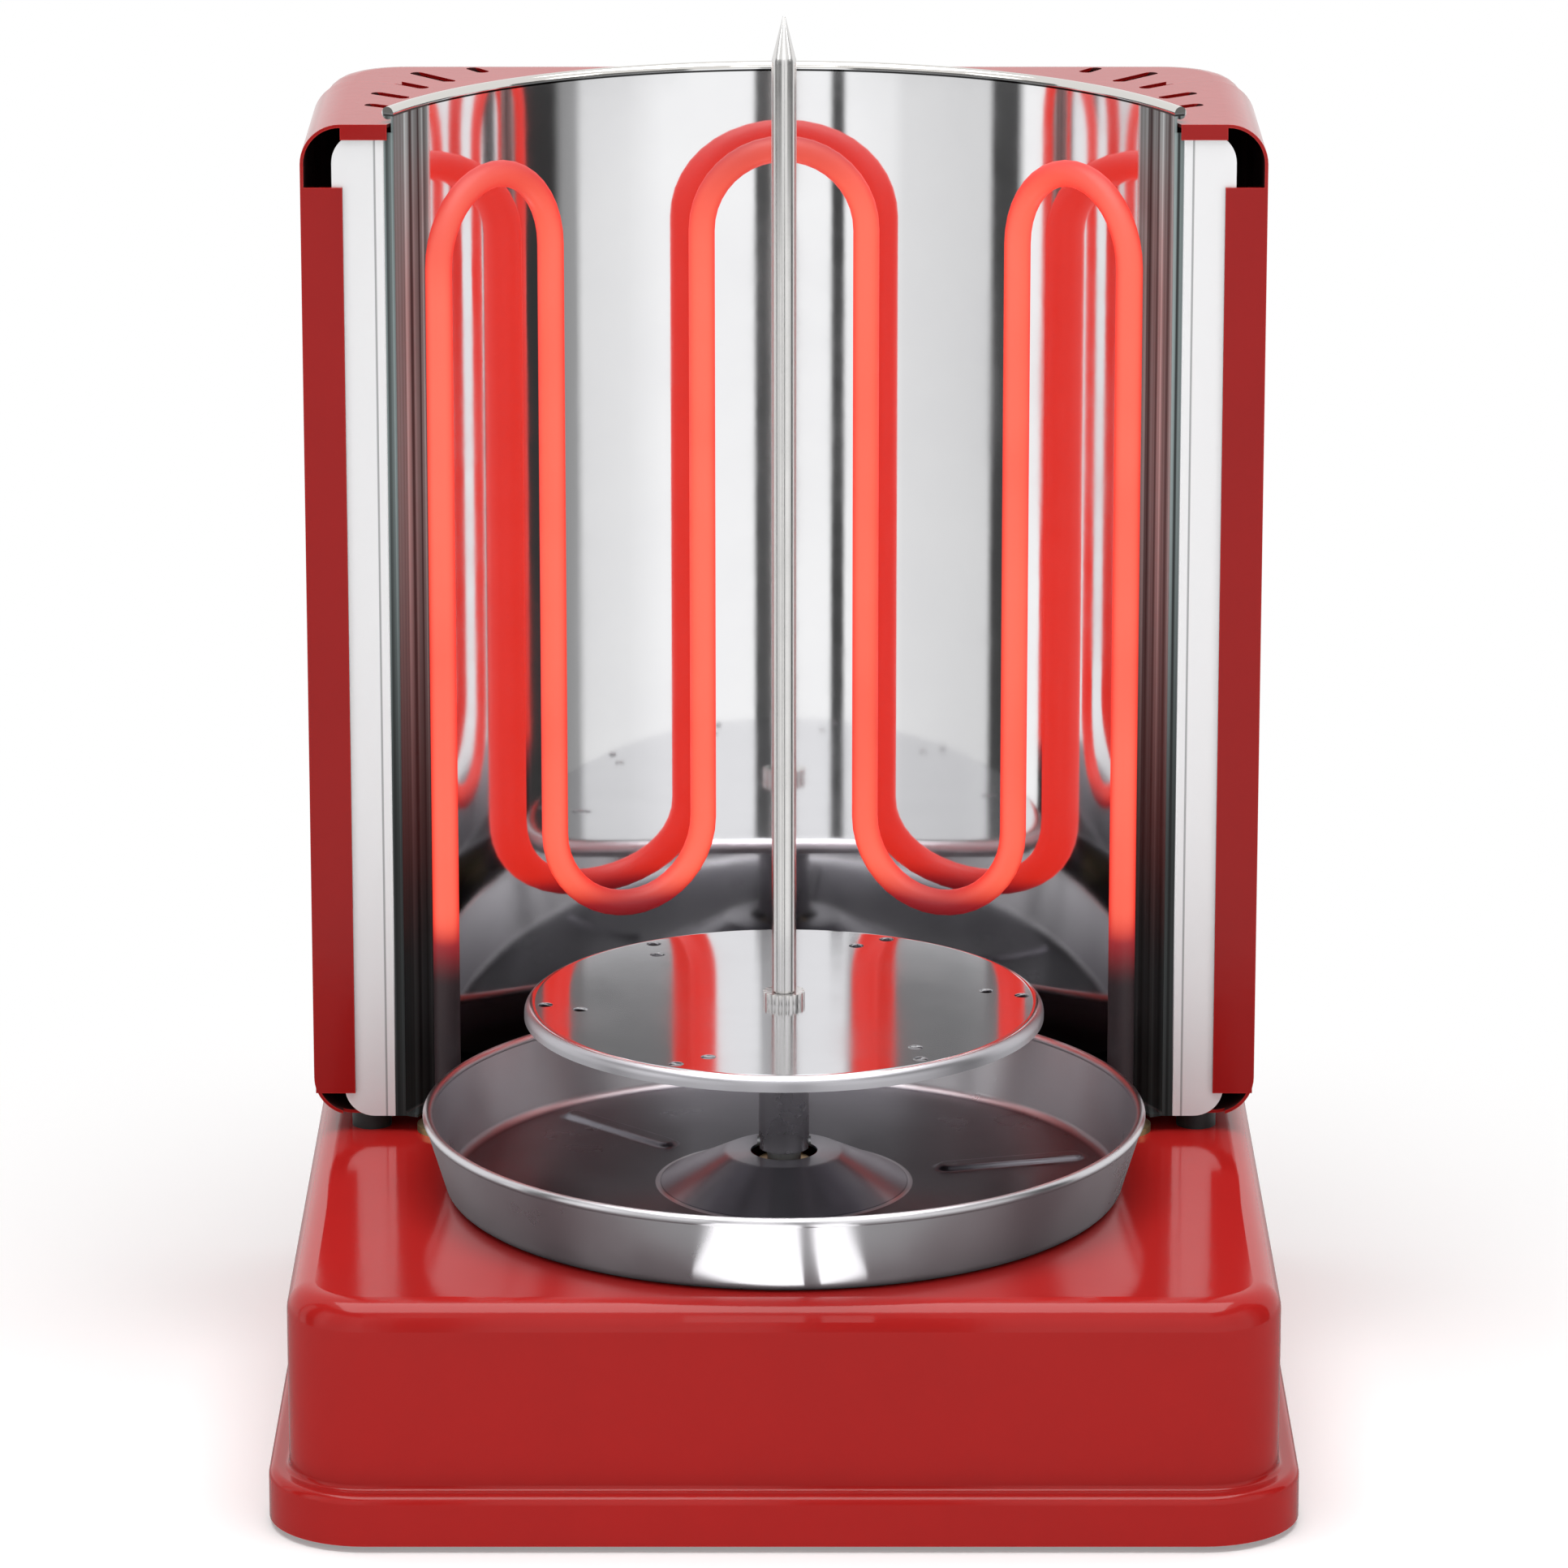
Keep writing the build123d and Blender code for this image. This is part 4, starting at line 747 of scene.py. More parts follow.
def finish_tree(tree, inp, out, instances):
    """Ends a tree in Realize Instances and Set Material."""
    real = add(tree, "GeometryNodeRealizeInstances", {0: instances}).outputs[0]
    paint = add(tree, "GeometryNodeSetMaterial", {"Geometry": real, "Material": inp.outputs["Material"]})
    tree.links.new(paint.outputs[0], out.inputs[0])
    return tree


def run_tree(name, tree, data=None, **values):
    """Object made by a tree, on an empty mesh or on the given one, as a plain mesh at the origin."""
    piece = bpy.data.objects.new(name, data or bpy.data.meshes.new(name))
    bpy.context.scene.collection.objects.link(piece)
    maker = piece.modifiers.new("maker", "NODES")
    maker.node_group = tree
    for item in tree.interface.items_tree:
        if item.item_type == "SOCKET" and item.in_out == "INPUT":
            key = item.name.replace(" ", "_")
            if key in values:
                maker[item.identifier] = values.pop(key)
    if values:
        raise ValueError(f"{name}: the tree has no input called {sorted(values)}")
    return apply_modifiers(piece)


# %% Placing copies along a rule
def polar(tree, length, angle):
    """Vector of a length at an angle about Z."""
    return add(tree, "ShaderNodeCombineXYZ", {
        "X": math(tree, "MULTIPLY", length, math(tree, "COSINE", angle)),
        "Y": math(tree, "MULTIPLY", length, math(tree, "SINE", angle))}).outputs[0]


def polar_points(tree, inp, count, radius, angle):
    """Count points round the Centre input; radius and angle may change with the index."""
    line = add(tree, "GeometryNodeMeshLine", {"Count": count}, mode="OFFSET").outputs[0]
    place = add(tree, "ShaderNodeVectorMath", {0: polar(tree, radius, angle), 1: inp.outputs["Centre"]},
                operation="ADD").outputs[0]
    return add(tree, "GeometryNodeSetPosition", {"Geometry": line, "Position": place}).outputs[0]


def copies(tree, points, shape, turn=0.0):
    """One copy of a shape on each point, turned about Z by a field."""
    spin = add(tree, "ShaderNodeCombineXYZ", {"Z": turn}).outputs[0]
    return add(tree, "GeometryNodeInstanceOnPoints",
               {"Points": points, "Instance": shape, "Rotation": spin}).outputs[0]


def round_bar(tree, radius, height):
    """Upright cylinder of the given radius and height sockets."""
    return add(tree, "GeometryNodeMeshCylinder", {"Vertices": 32, "Radius": radius, "Depth": height},
               fill_type="NGON").outputs["Mesh"]


def remember(tree, shape, name, value):
    """Keeps a number on each point of a shape under a name."""
    return add(tree, "GeometryNodeStoreNamedAttribute", {"Geometry": shape, "Name": name, "Value": value},
               data_type="FLOAT", domain="POINT").outputs[0]


def recall(tree, name):
    """The number kept under a name."""
    return add(tree, "GeometryNodeInputNamedAttribute", {"Name": name}, data_type="FLOAT").outputs[0]


# %% The slot tree and the hole tree
def make_slot_tree():
    """Row of round-ended slots that point at a centre.

    Each slot starts as a drum.  Its two halves remember their side, and are moved apart along the slot once
    the copies are real.
    """
    tree, inp, out = start_tree("slot_row", [
        ("Centre", "Vector", (0, 0, 0)), ("Count", "Int", 5), ("First Angle", "Float", 0.5),
        ("Angle Step", "Float", 0.1), ("First Inner", "Float", 0.1), ("Last Inner", "Float", 0.15),
        ("First Length", "Float", 0.01), ("Length Step", "Float", 0.003), ("Reach", "Float", 0.15),
        ("Width", "Float", 0.0035), ("Height", "Float", 0.01), ("Side", "Float", 1.0),
        ("Material", "Material", None)])
    index = add(tree, "GeometryNodeInputIndex").outputs[0]
    angle = math(tree, "MULTIPLY_ADD", index, inp.outputs["Angle Step"], inp.outputs["First Angle"])
    share = math(tree, "DIVIDE", index, math(tree, "SUBTRACT", inp.outputs["Count"], 1.0))
    grow = math(tree, "SUBTRACT", inp.outputs["Last Inner"], inp.outputs["First Inner"])
    inner = math(tree, "MULTIPLY_ADD", share, grow, inp.outputs["First Inner"])
    length = math(tree, "MULTIPLY_ADD", index, inp.outputs["Length Step"], inp.outputs["First Length"])
    limit = math(tree, "DIVIDE", inp.outputs["Reach"], math(tree, "SINE", angle))
    outer = math(tree, "MINIMUM", math(tree, "ADD", inner, length), limit)
    centre_line = math(tree, "MULTIPLY", math(tree, "ADD", inner, outer), 0.5)
    run = math(tree, "SUBTRACT", math(tree, "SUBTRACT", outer, inner), inp.outputs["Width"])
    left = math(tree, "MULTIPLY", math(tree, "SUBTRACT", 1.0, inp.outputs["Side"]), pi / 2)
    turn = math(tree, "MULTIPLY_ADD", angle, inp.outputs["Side"], left)

    points = polar_points(tree, inp, inp.outputs["Count"], centre_line, turn)
    points = remember(tree, points, "stretch", math(tree, "MULTIPLY", run, 0.5))
    points = remember(tree, points, "heading", turn)
    half_width = math(tree, "MULTIPLY", inp.outputs["Width"], 0.5)
    here = add(tree, "ShaderNodeSeparateXYZ", {0: add(tree, "GeometryNodeInputPosition").outputs[0]})
    shape = remember(tree, round_bar(tree, half_width, inp.outputs["Height"]), "half",
                     math(tree, "SIGN", here.outputs["X"]))
    real = add(tree, "GeometryNodeRealizeInstances", {0: copies(tree, points, shape, turn)}).outputs[0]
    shift = math(tree, "MULTIPLY", recall(tree, "half"), recall(tree, "stretch"))
    offset = polar(tree, shift, recall(tree, "heading"))
    part = add(tree, "GeometryNodeSetPosition", {"Geometry": real, "Offset": offset})
    return finish_tree(tree, inp, out, part.outputs[0])


def make_hole_tree():
    """Ring of upright round bars about a centre."""
    tree, inp, out = start_tree("hole_ring", [
        ("Centre", "Vector", (0, 0, 0)), ("Count", "Int", 6), ("Ring Radius", "Float", 0.05),
        ("First Angle", "Float", 0.0), ("Hole Radius", "Float", 0.002), ("Height", "Float", 0.01),
        ("Material", "Material", None)])
    index = add(tree, "GeometryNodeInputIndex").outputs[0]
    angle_step = math(tree, "DIVIDE", 2 * pi, inp.outputs["Count"])
    angle = math(tree, "MULTIPLY_ADD", index, angle_step, inp.outputs["First Angle"])
    points = polar_points(tree, inp, inp.outputs["Count"], inp.outputs["Ring Radius"], angle)
    bars = copies(tree, points, round_bar(tree, inp.outputs["Hole Radius"], inp.outputs["Height"]))
    return finish_tree(tree, inp, out, bars)


slot_tree = make_slot_tree()
hole_tree = make_hole_tree()
print("geometry trees:", slot_tree.name, hole_tree.name)

# %% [markdown]
# ## Base
# The base is one pressed box.  Its plan is a rectangle with round corners, and every height is the same
# plan moved in or out.  So the whole shell, outside and inside, is one skin of such plans: up inside, over
# the lower edge of the skirt, up outside with its step and its round top edge.

# %% Plan loops
skirt_step = 6 * mm
base_sheet = 1 * mm
base_corner = 23 * mm
base_edge = 8 * mm
skirt_high = skirt_min.z + 15 * mm
skirt_edge = 2.5 * mm
skirt_cove = 1.5 * mm
hair = 0.3 * mm                 # support loops this close to a bend keep flat faces flat


def plan_loop(half_width, half_depth, corner, z, steps=14):
    """Rectangle with round corners at one height, anticlockwise from the right."""
    points = []
    for k, (sx, sy) in enumerate(((1, 1), (-1, 1), (-1, -1), (1, -1))):
        for j in range(steps + 1):
            a = radians(90 * k + 90 * j / steps)
            points.append((sx * (half_width - corner) + corner * cos(a),
                           sy * (half_depth - corner) + corner * sin(a), z))
    return points


def base_profile():
    """(outward offset from the box, z) from the inner middle, round the skirt, to the top's edge."""
    wall, top, sheet = 0.0, base_top, base_sheet
    inside = [(-60 * mm, top - sheet), (-base_edge - hair, top - sheet)]
    inside += reversed(arc(-base_edge, top - base_edge, base_edge - sheet, 0, 90))
    inside += [(-sheet, top - base_edge - hair), (-sheet, skirt_high - sheet + hair),
               (-sheet, skirt_high - sheet)]
    inside += reversed(arc(skirt_step - skirt_edge, skirt_high - skirt_edge, skirt_edge - sheet, 0, 90, 4))
    inside += [(skirt_step - sheet, skirt_high - skirt_edge - hair), (skirt_step - sheet, skirt_min.z)]
    outside = [(skirt_step, skirt_min.z), (skirt_step, skirt_min.z + hair),
               (skirt_step, skirt_high - skirt_edge - hair)]
    outside += arc(skirt_step - skirt_edge, skirt_high - skirt_edge, skirt_edge, 0, 90, 6)
    outside += reversed(arc(skirt_cove, skirt_high + skirt_cove, skirt_cove, 180, 270, 5))
    outside += [(wall, skirt_high + skirt_cove + hair), (wall, top - base_edge - hair)]
    outside += arc(-base_edge, top - base_edge, base_edge, 0, 90, 10)
    outside += [(-base_edge - hair, top)]
    return inside + outside


half_box = ((skirt_max.x - skirt_min.x) / 2 - skirt_step, (skirt_max.y - skirt_min.y) / 2 - skirt_step)
loops = []
for offset, z in base_profile():
    corner = max(base_corner + offset, 0.5 * mm)
    loops.append(plan_loop(half_box[0] + offset, half_box[1] + offset, corner, z))
base = skin("enamel_base", loops, caps=(True, True))
print("base plan half sizes", [round(v, 4) for v in half_box])

# %% [markdown]
# The openings of the base stay real: the shaft's bearing, the heater's sleeves, the bolts, the inlet and the
# two switches all pass through it.  Their places are read from the boxes of the nodes that fill them.

# %% Openings of the base
def centre_of(node):
    """Middle of a node's box."""
    low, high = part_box(node)
    return (low + high) / 2


def islands(node):
    """Middle and half width of each loose body of a node, read from a merged copy of its mesh."""
    work = bmesh.new()
    work.from_mesh(frame["nodes"][node].data)
    bmesh.ops.remove_doubles(work, verts=work.verts, dist=1e-6)
    seen, found = set(), []
    for vertex in work.verts:
        if vertex in seen:
            continue
        group, queue = [], [vertex]
        seen.add(vertex)
        while queue:
            here = queue.pop()
            group.append(here.co.copy())
            for edge in here.link_edges:
                other = edge.other_vert(here)
                if other not in seen:
                    seen.add(other)
                    queue.append(other)
        low = Vector([min(p[i] for p in group) for i in range(3)])
        high = Vector([max(p[i] for p in group) for i in range(3)])
        found.append(((low + high) / 2, (high - low) / 2))
    work.free()
    return found


bolt_hole = 2.05 * mm
sleeve_hole = 7.15 * mm
bush_hole = 6.05 * mm
gland_hole = 5.95 * mm
switch_hole = (6.45 * mm, 10.45 * mm)
rear_wall = half_box[1]
wall_cut = 4 * mm
cutters = [drum("knife_bush", bush_hole, base_top - past, base_top + past, spit_x, spit_y)]
for place, _ in islands("element_fittings"):
    cutters.append(drum("knife_sleeve", sleeve_hole, base_top - past, base_top + past, place.x, place.y))
for node in ("casing_bolts", "motor_screws"):
    for place, _ in islands(node):
        cutters.append(drum("knife_bolt", bolt_hole, base_top - past, base_top + past, place.x, place.y, 20))
for place, half in islands("rocker_frames"):
    cutters.append(slab("knife_switch",
                        (place.x - switch_hole[0], rear_wall - wall_cut, place.z - switch_hole[1]),
                        (place.x + switch_hole[0], rear_wall + wall_cut, place.z + switch_hole[1])))
gland_place = centre_of("cord_gland")
cutters.append(bar("knife_gland", gland_hole, (gland_place.x, rear_wall - wall_cut, gland_place.z),
                   (gland_place.x, rear_wall + wall_cut, gland_place.z)))
cut(base, cutters)
soften(base, 0.0, smooth=40)
dress(base, red_enamel, "red_enamel", "housing", "base_shell")

# %% [markdown]
# ## Casing
# Each side panel is a sheet bent to a C.  Stock for it is a thin rounded tube along Y.  The front flange and
# the lip of the top plate are joined on.  The round well of the reflector, the air slots and the open middle
# are then cut away.  A small bevel on every cut edge gives the pale lines that enamel shows there.

# %% Casing sizes
casing_half = panel_max.x
casing_low, casing_high = panel_min.z, panel_max.z
casing_front, casing_back = panel_min.y, panel_max.y
casing_corner = 12 * mm
casing_sheet = 1 * mm
return_width = 12.5 * mm
return_low_cut = 7 * mm
return_high_cut = 19 * mm
top_lip = 4.7 * mm
reflector_sheet = 0.8 * mm
reflector_gap = 0.6 * mm
reflector_radius = casing_half - 17 * mm
well_radius = reflector_radius + reflector_sheet + reflector_gap
wing_outer = reflector_max.x
vent_count = 5
vent_angle = radians(33.5)
vent_step = radians(5.9)
vent_reach = cover_max.y - 11 * mm - spit_y
vent_last_inner = vent_reach / sin(vent_angle + (vent_count - 1) * vent_step) - 9.6 * mm


def vent_knives():
    """Cutters for the air slots of both rear corners."""
    return [run_tree(f"knife_vents_{side:+d}", slot_tree, Centre=(spit_x, spit_y, casing_high),
                     Count=vent_count, First_Angle=vent_angle, Angle_Step=vent_step,
                     First_Inner=well_radius + 11.3 * mm, Last_Inner=vent_last_inner,
                     First_Length=11.1 * mm, Length_Step=3.1 * mm, Reach=vent_reach,
                     Width=4.1 * mm, Height=10 * mm, Side=float(side)) for side in (-1, 1)]


# %% Side panels
def tube_loop(half, low, high, corner, y, steps=12):
    """Rounded rectangle in the plane of the casing's front."""
    middle_z, half_z = (low + high) / 2, (high - low) / 2
    return [(x, y, middle_z + v) for x, v, _ in plan_loop(half, half_z, corner, 0, steps)]


def make_side_panel(side):
    """One side of the casing."""
    name = "left_panel" if side < 0 else "right_panel"
    outer = [tube_loop(casing_half, casing_low, casing_high, casing_corner, y)
             for y in (casing_front, casing_back)]
    inner = [tube_loop(casing_half - casing_sheet, casing_low + casing_sheet, casing_high - casing_sheet,
                       casing_corner - casing_sheet, y) for y in (casing_back, casing_front)]
    panel = skin(name, outer + inner, wrap=True)
    flange = slab("flange", (casing_half - return_width, casing_front, casing_low + return_low_cut),
                  (casing_half - casing_sheet / 2, casing_front + casing_sheet,
                   casing_high - return_high_cut))
    lip_inner = sqrt(well_radius ** 2 - (casing_front - spit_y) ** 2)
    lip = slab("lip", (lip_inner, casing_front, casing_high - top_lip),
               (casing_half - casing_corner, casing_front + casing_sheet, casing_high - casing_sheet / 2))
    panel = join(name, [panel, flange, lip])
    well = drum("knife_well", well_radius, casing_low - past, casing_high + past, spit_x, spit_y, 160)
    notch = slab("knife_notch", (-0.2, casing_front - past, casing_low - past),
                 (wing_outer + reflector_gap, casing_front + casing_sheet + reflector_sheet + reflector_gap,
                  casing_low + casing_sheet + reflector_gap))
    middle_knife = slab("knife_middle", (-0.2, casing_front - past, casing_low - past),
                        (0.0, casing_back + past, casing_high + past))
    cut(panel, [well, notch, middle_knife] + vent_knives())
    if side < 0:
        panel.data.transform(Matrix.Scale(-1, 4, (1, 0, 0)))
        panel.data.flip_normals()
    return soften(panel, 0.25 * mm)


for side, node in ((-1, "left_side_panel"), (1, "right_side_panel")):
    dress(make_side_panel(side), casing_enamel, "red_enamel", "housing", node)

# %% [markdown]
# The rear cover is a deep tray with round corners.  Its loops are U-shaped plans: along one side, round the
# back, along the other side.  They step inwards over the top and bottom edges, a solidify modifier gives the
# sheet its thickness, and the well and the air slots are cut last.

# %% Rear cover
cover_half = casing_half - 2.3 * mm
cover_corner = 25 * mm
cover_edge = 10 * mm


def cover_loop(inset, z, front, steps=14):
    """U-shaped plan of the cover, moved in by inset at the sides and the back."""
    half, back, corner = cover_half - inset, cover_max.y - inset, cover_corner - inset
    points = [(half, front, z)]
    points += [(u, v, z) for u, v in arc(half - corner, back - corner, corner, 0, 90, steps)]
    points += [(u, v, z) for u, v in arc(-half + corner, back - corner, corner, 90, 180, steps)]
    return points + [(-half, front, z)]


def cover_profile():
    """(inset, z) from the middle of the underside, up the wall, to the middle of the top."""
    low, high = cover_min.z, cover_max.z
    turn = arc(-cover_edge, low + cover_edge, cover_edge, 270, 360, 8)
    lower = [(-u, z) for u, z in turn]
    upper = [(-u, z) for u, z in arc(-cover_edge, high - cover_edge, cover_edge, 0, 90, 8)]
    return ([(cover_edge + hair, low)] + lower + [(0, low + cover_edge + hair)]
            + [(0, high - cover_edge - hair)] + upper + [(cover_edge + hair, high)])


cover_loops = [cover_loop(inset, z, cover_min.y) for inset, z in cover_profile()]
cover = skin("rear_shell", cover_loops, closed=False, caps=(True, True))
thicken = cover.modifiers.new("sheet", "SOLIDIFY")
thicken.thickness = casing_sheet
thicken.offset = -1
thicken.use_even_offset = True
apply_modifiers(cover)
well = drum("knife_well", well_radius, casing_low - past, casing_high + past, spit_x, spit_y, 160)
cut(cover, [well] + vent_knives())
# strips along the cover's sides close the gap to the panels
strip_low = casing_low + casing_corner + casing_sheet
strip_high = casing_high - casing_corner - casing_sheet
strip_inner, strip_outer = cover_half - casing_sheet / 2, casing_half - casing_sheet
edge_strips = []
for side in (-1, 1):
    ends = sorted((side * strip_inner, side * strip_outer))
    edge_strips.append(slab("strip", (ends[0], cover_min.y, strip_low),
                            (ends[1], casing_back - casing_sheet, strip_high)))
cover = join("rear_shell", [cover] + edge_strips)
soften(cover, 0.25 * mm)
dress(cover, casing_enamel, "red_enamel", "housing", "rear_cover")

# %% [markdown]
# ## Reflector
# The mirror sheet is turned round the spit's axis from wing to wing.  Its section has a hem at the foot and
# a rolled rim, because the rim's bright line is what draws the upper edge in the picture.  The flat wings
# are joined on at the front.

# %% Mirror sheet
hem_width = 4 * mm
hem_bend = 1.5 * mm
curl_outer = 1.9 * mm
wing_corner = 9 * mm
wing_front = casing_front + casing_sheet
wing_high = casing_high - 2.7 * mm


def reflector_profile():
    """Closed section of the sheet as (radius, z)."""
    inner, outer = reflector_radius, reflector_radius + reflector_sheet
    low, high = reflector_min.z, reflector_max.z
    curl = (inner + curl_outer, high - curl_outer)
    meet = acos((inner + curl_outer - outer) / curl_outer)
    bend = (outer - hem_bend, low + hem_bend)
    section = [(inner - hem_width, low)] + arc(*bend, hem_bend, 270, 360)
    section += [(outer, low + hem_bend + hair), (outer, curl[1] - curl_outer * sin(meet) - hair)]
    section += arc(*curl, curl_outer, degrees(meet) - 180, 180, 20)
    section += [(inner, curl[1] - hair), (inner, low + hem_bend + hair)]
    section += arc(*bend, hem_bend - reflector_sheet, 360, 270)
    return section + [(inner - hem_width, low + reflector_sheet)]


bend_start = asin((wing_front - spit_y) / reflector_radius)
mirror = lathe("mirror_sheet", reflector_profile(), 220, first=bend_start, last=pi - bend_start)
wing_inner = reflector_radius * cos(bend_start)


def wing(side):
    """Flat front wing with round outer corners."""
    low, high = reflector_min.z, wing_high
    outline = [(wing_inner, low)]
    outline += arc(wing_outer - wing_corner, low + wing_corner, wing_corner, 270, 360, 10)
    outline += arc(wing_outer - wing_corner, high - wing_corner, wing_corner, 0, 90, 10)
    outline += [(wing_inner, high)]
    return skin("wing", [[(side * u, wing_front + depth, v) for u, v in outline]
                         for depth in (0, reflector_sheet)], caps=(True, True))


mirror = join("mirror_sheet", [mirror, wing(-1), wing(1)])
soften(mirror, 0.0, smooth=40)
dress(mirror, mirror_steel, "mirror_steel", "housing", "reflector")

# %% [markdown]
# ## Heater
# One tube goes up and down six times.  Its centre line is worked out as points, and a geometry tree sweeps a
# round section along it.

# %% Tube tree
def make_tube_tree():
    """Sweeps a round section along the edges of the mesh it is put on."""
    tree, inp, out = start_tree("tube_along_line", [
        ("Line", "Geometry", None), ("Radius", "Float", 0.004), ("Sides", "Int", 32),
        ("Material", "Material", None)])
    line = add(tree, "GeometryNodeMeshToCurve", {0: inp.outputs["Line"]}).outputs[0]
    ring = add(tree, "GeometryNodeCurvePrimitiveCircle",
               {"Resolution": inp.outputs["Sides"], "Radius": inp.outputs["Radius"]}, mode="RADIUS")
    sweep = add(tree, "GeometryNodeCurveToMesh",
                {"Curve": line, "Profile Curve": ring.outputs[0], "Fill Caps": True})
    return finish_tree(tree, inp, out, sweep.outputs[0])


def tube_along(name, points, radius, sides=32):
    """Tube of one radius along a line of points."""
    data = bpy.data.meshes.new(name)
    data.from_pydata([tuple(p) for p in points], [(k, k + 1) for k in range(len(points) - 1)], [])
    return run_tree(name, tube_tree, data, Radius=radius, Sides=sides)


tube_tree = make_tube_tree()

# %% Heater tube
heater_tube = 4 * mm
heater_radius = reflector_radius - 10.5 * mm
heater_min, heater_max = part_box("heating_element")
leg_step = radians(25)
leg_bend = heater_radius * sin(leg_step / 2)
leg_high = heater_max.z - heater_tube - leg_bend
leg_low = base_top + 58 * mm + leg_bend


def leg_place(k, z):
    """Point on the centre line of leg k, counted from the left."""
    a = pi / 2 - (k - 2.5) * leg_step
    return Vector((spit_x + heater_radius * cos(a), spit_y + heater_radius * sin(a), z))


heater_line = [leg_place(0, heater_min.z)]
for k in range(6):
    upward = k % 2 == 0
    start, end = (leg_low, leg_high) if upward else (leg_high, leg_low)
    if k == 0:
        start = cold_end_z
    if k == 5:
        end = cold_end_z
    heater_line += [leg_place(k, start + (end - start) * j / 12) for j in range(13)]
    if k == 5:
        break
    middle_point = (leg_place(k, end) + leg_place(k + 1, end)) / 2
    half_step = leg_place(k, end) - middle_point
    rise = leg_bend if upward else -leg_bend
    for j in range(1, 20):
        turn = pi * j / 20
        heater_line.append(middle_point + half_step * cos(turn) + Vector((0, 0, rise * sin(turn))))
heater_line.append(leg_place(5, heater_min.z))
heater = tube_along("heater_tube", heater_line, heater_tube)
soften(heater, 0.0, smooth=50)
dress(heater, hot_tube, "hot_tube", "housing", "heating_element")

# %% [markdown]
# ## Drip tray
# The tray is spun: cone, floor, wall and rolled rim are one section.  Three ribs are then pressed up from
# its floor, which is done by lifting the points of the turned mesh inside each rib's outline.

# %% Tray
tray_sheet = 0.8 * mm
tray_bead = 1.5 * mm
tray_floor = tray_radius - 7.2 * mm
tray_bend = 4 * mm
cone_base, cone_top = 37.5 * mm, 17.6 * mm
cone_high = base_top + 10.6 * mm
cone_hole = hub_radius + 2.5 * mm
rib_start, rib_end = cone_base + 9 * mm, tray_floor - 6 * mm
rib_half, rib_rise, rib_slope = 4.5 * mm, 1.3 * mm, 2.4 * mm
rib_first = radians(15)


def rounded_corner(before, corner, after, radius, steps=8):
    """Points of an arc that replaces a corner of a profile."""
    corner = Vector(corner)
    u, v = (Vector(before) - corner).normalized(), (Vector(after) - corner).normalized()
    half = acos(max(-1, min(1, u.dot(v)))) / 2
    centre = corner + (u + v).normalized() * radius / sin(half)
    start = corner + u * radius / tan(half) - centre
    end = corner + v * radius / tan(half) - centre
    sweep = start.angle_signed(end)
    points = []
    for k in range(steps + 1):
        turn = -sweep * k / steps
        points.append((centre.x + start.x * cos(turn) - start.y * sin(turn),
                       centre.y + start.x * sin(turn) + start.y * cos(turn)))
    return points


def evenly(start, end, step):
    """Points between two points of a profile, ends left out."""
    count = max(1, round(hypot(end[0] - start[0], end[1] - start[1]) / step))
    return [(start[0] + (end[0] - start[0]) * k / count, start[1] + (end[1] - start[1]) * k / count)
            for k in range(1, count)]


def tray_face(lift, bends, floor_step):
    """One face of the sheet from the cone's hole to the top of the wall, lifted along Z by the sheet."""
    side = lift * 0.9
    corners = [(cone_hole, cone_high - tray_sheet + lift), (cone_top, cone_high - tray_sheet + lift),
               (cone_base, base_top + lift), (tray_floor - side, base_top + lift),
               (tray_radius - tray_bead - side, tray_max.z - tray_bead)]
    face = [corners[0]]
    for k, bend in zip((1, 2, 3), bends):
        face += rounded_corner(corners[k - 1], corners[k], corners[k + 1], bend)
        if k == 2:
            foot = face[-1]
            face += evenly(foot, (tray_floor - side - bends[2], base_top + lift), floor_step)
    return face


under = tray_face(0.0, (3 * mm, 3 * mm, tray_bend), 0.7 * mm)
upper = tray_face(tray_sheet, (3.8 * mm, 2.2 * mm, 3.2 * mm), 0.7 * mm)
bead_centre = (tray_radius - tray_bead, tray_max.z - tray_bead)
section = under + arc(*bead_centre, tray_bead, -60, 200, 20) + list(reversed(upper))
tray = lathe("spun_tray", section, 720)
for vertex in tray.data.vertices:
    x, y = vertex.co.x - spit_x, vertex.co.y - spit_y
    if vertex.co.z < base_top + tray_sheet / 2 or vertex.co.z > base_top + tray_sheet * 1.5:
        continue
    for k in range(3):
        turn = rib_first + 2 * pi * k / 3
        along, across = x * cos(turn) + y * sin(turn), abs(y * cos(turn) - x * sin(turn))
        beyond = max(rib_start + rib_half - along, along - rib_end + rib_half, 0.0)
        edge = rib_half - hypot(across, beyond)
        share = min(1.0, max(0.0, edge / rib_slope))
        vertex.co.z += rib_rise * share * share * (3 - 2 * share)
soften(tray, 0.0, smooth=50)
dress(tray, tray_steel, "tray_steel", "tray", "drip_tray")

# %% [markdown]
# ## Plate, hub, collar and rod
# The plate's small holes come in pairs, an outer one a little behind each inner one.

# %% Plate
plate_sheet = 0.8 * mm
plate_bend = 3 * mm
plate_hole = 2.25 * mm
outer_ring = plate_radius - 6.2 * mm
inner_ring = outer_ring - 10 * mm
shank_radius = 2.9 * mm


def plate_profile():
    """Closed section of the plate, its edge turned down."""
    top, edge = plate_max.z, plate_radius
    corner = (edge - plate_bend, top - plate_bend)
    section = [(shank_radius, top), (collar_radius, top), (corner[0] - hair, top)]
    section += arc(*corner, plate_bend, 90, 0, 8) + [(edge, plate_min.z)]
    section += [(edge - plate_sheet, plate_min.z)]
    section += arc(*corner, plate_bend - plate_sheet, 0, 90, 8)
    return section + [(corner[0] - hair, top - plate_sheet), (shank_radius, top - plate_sheet)]


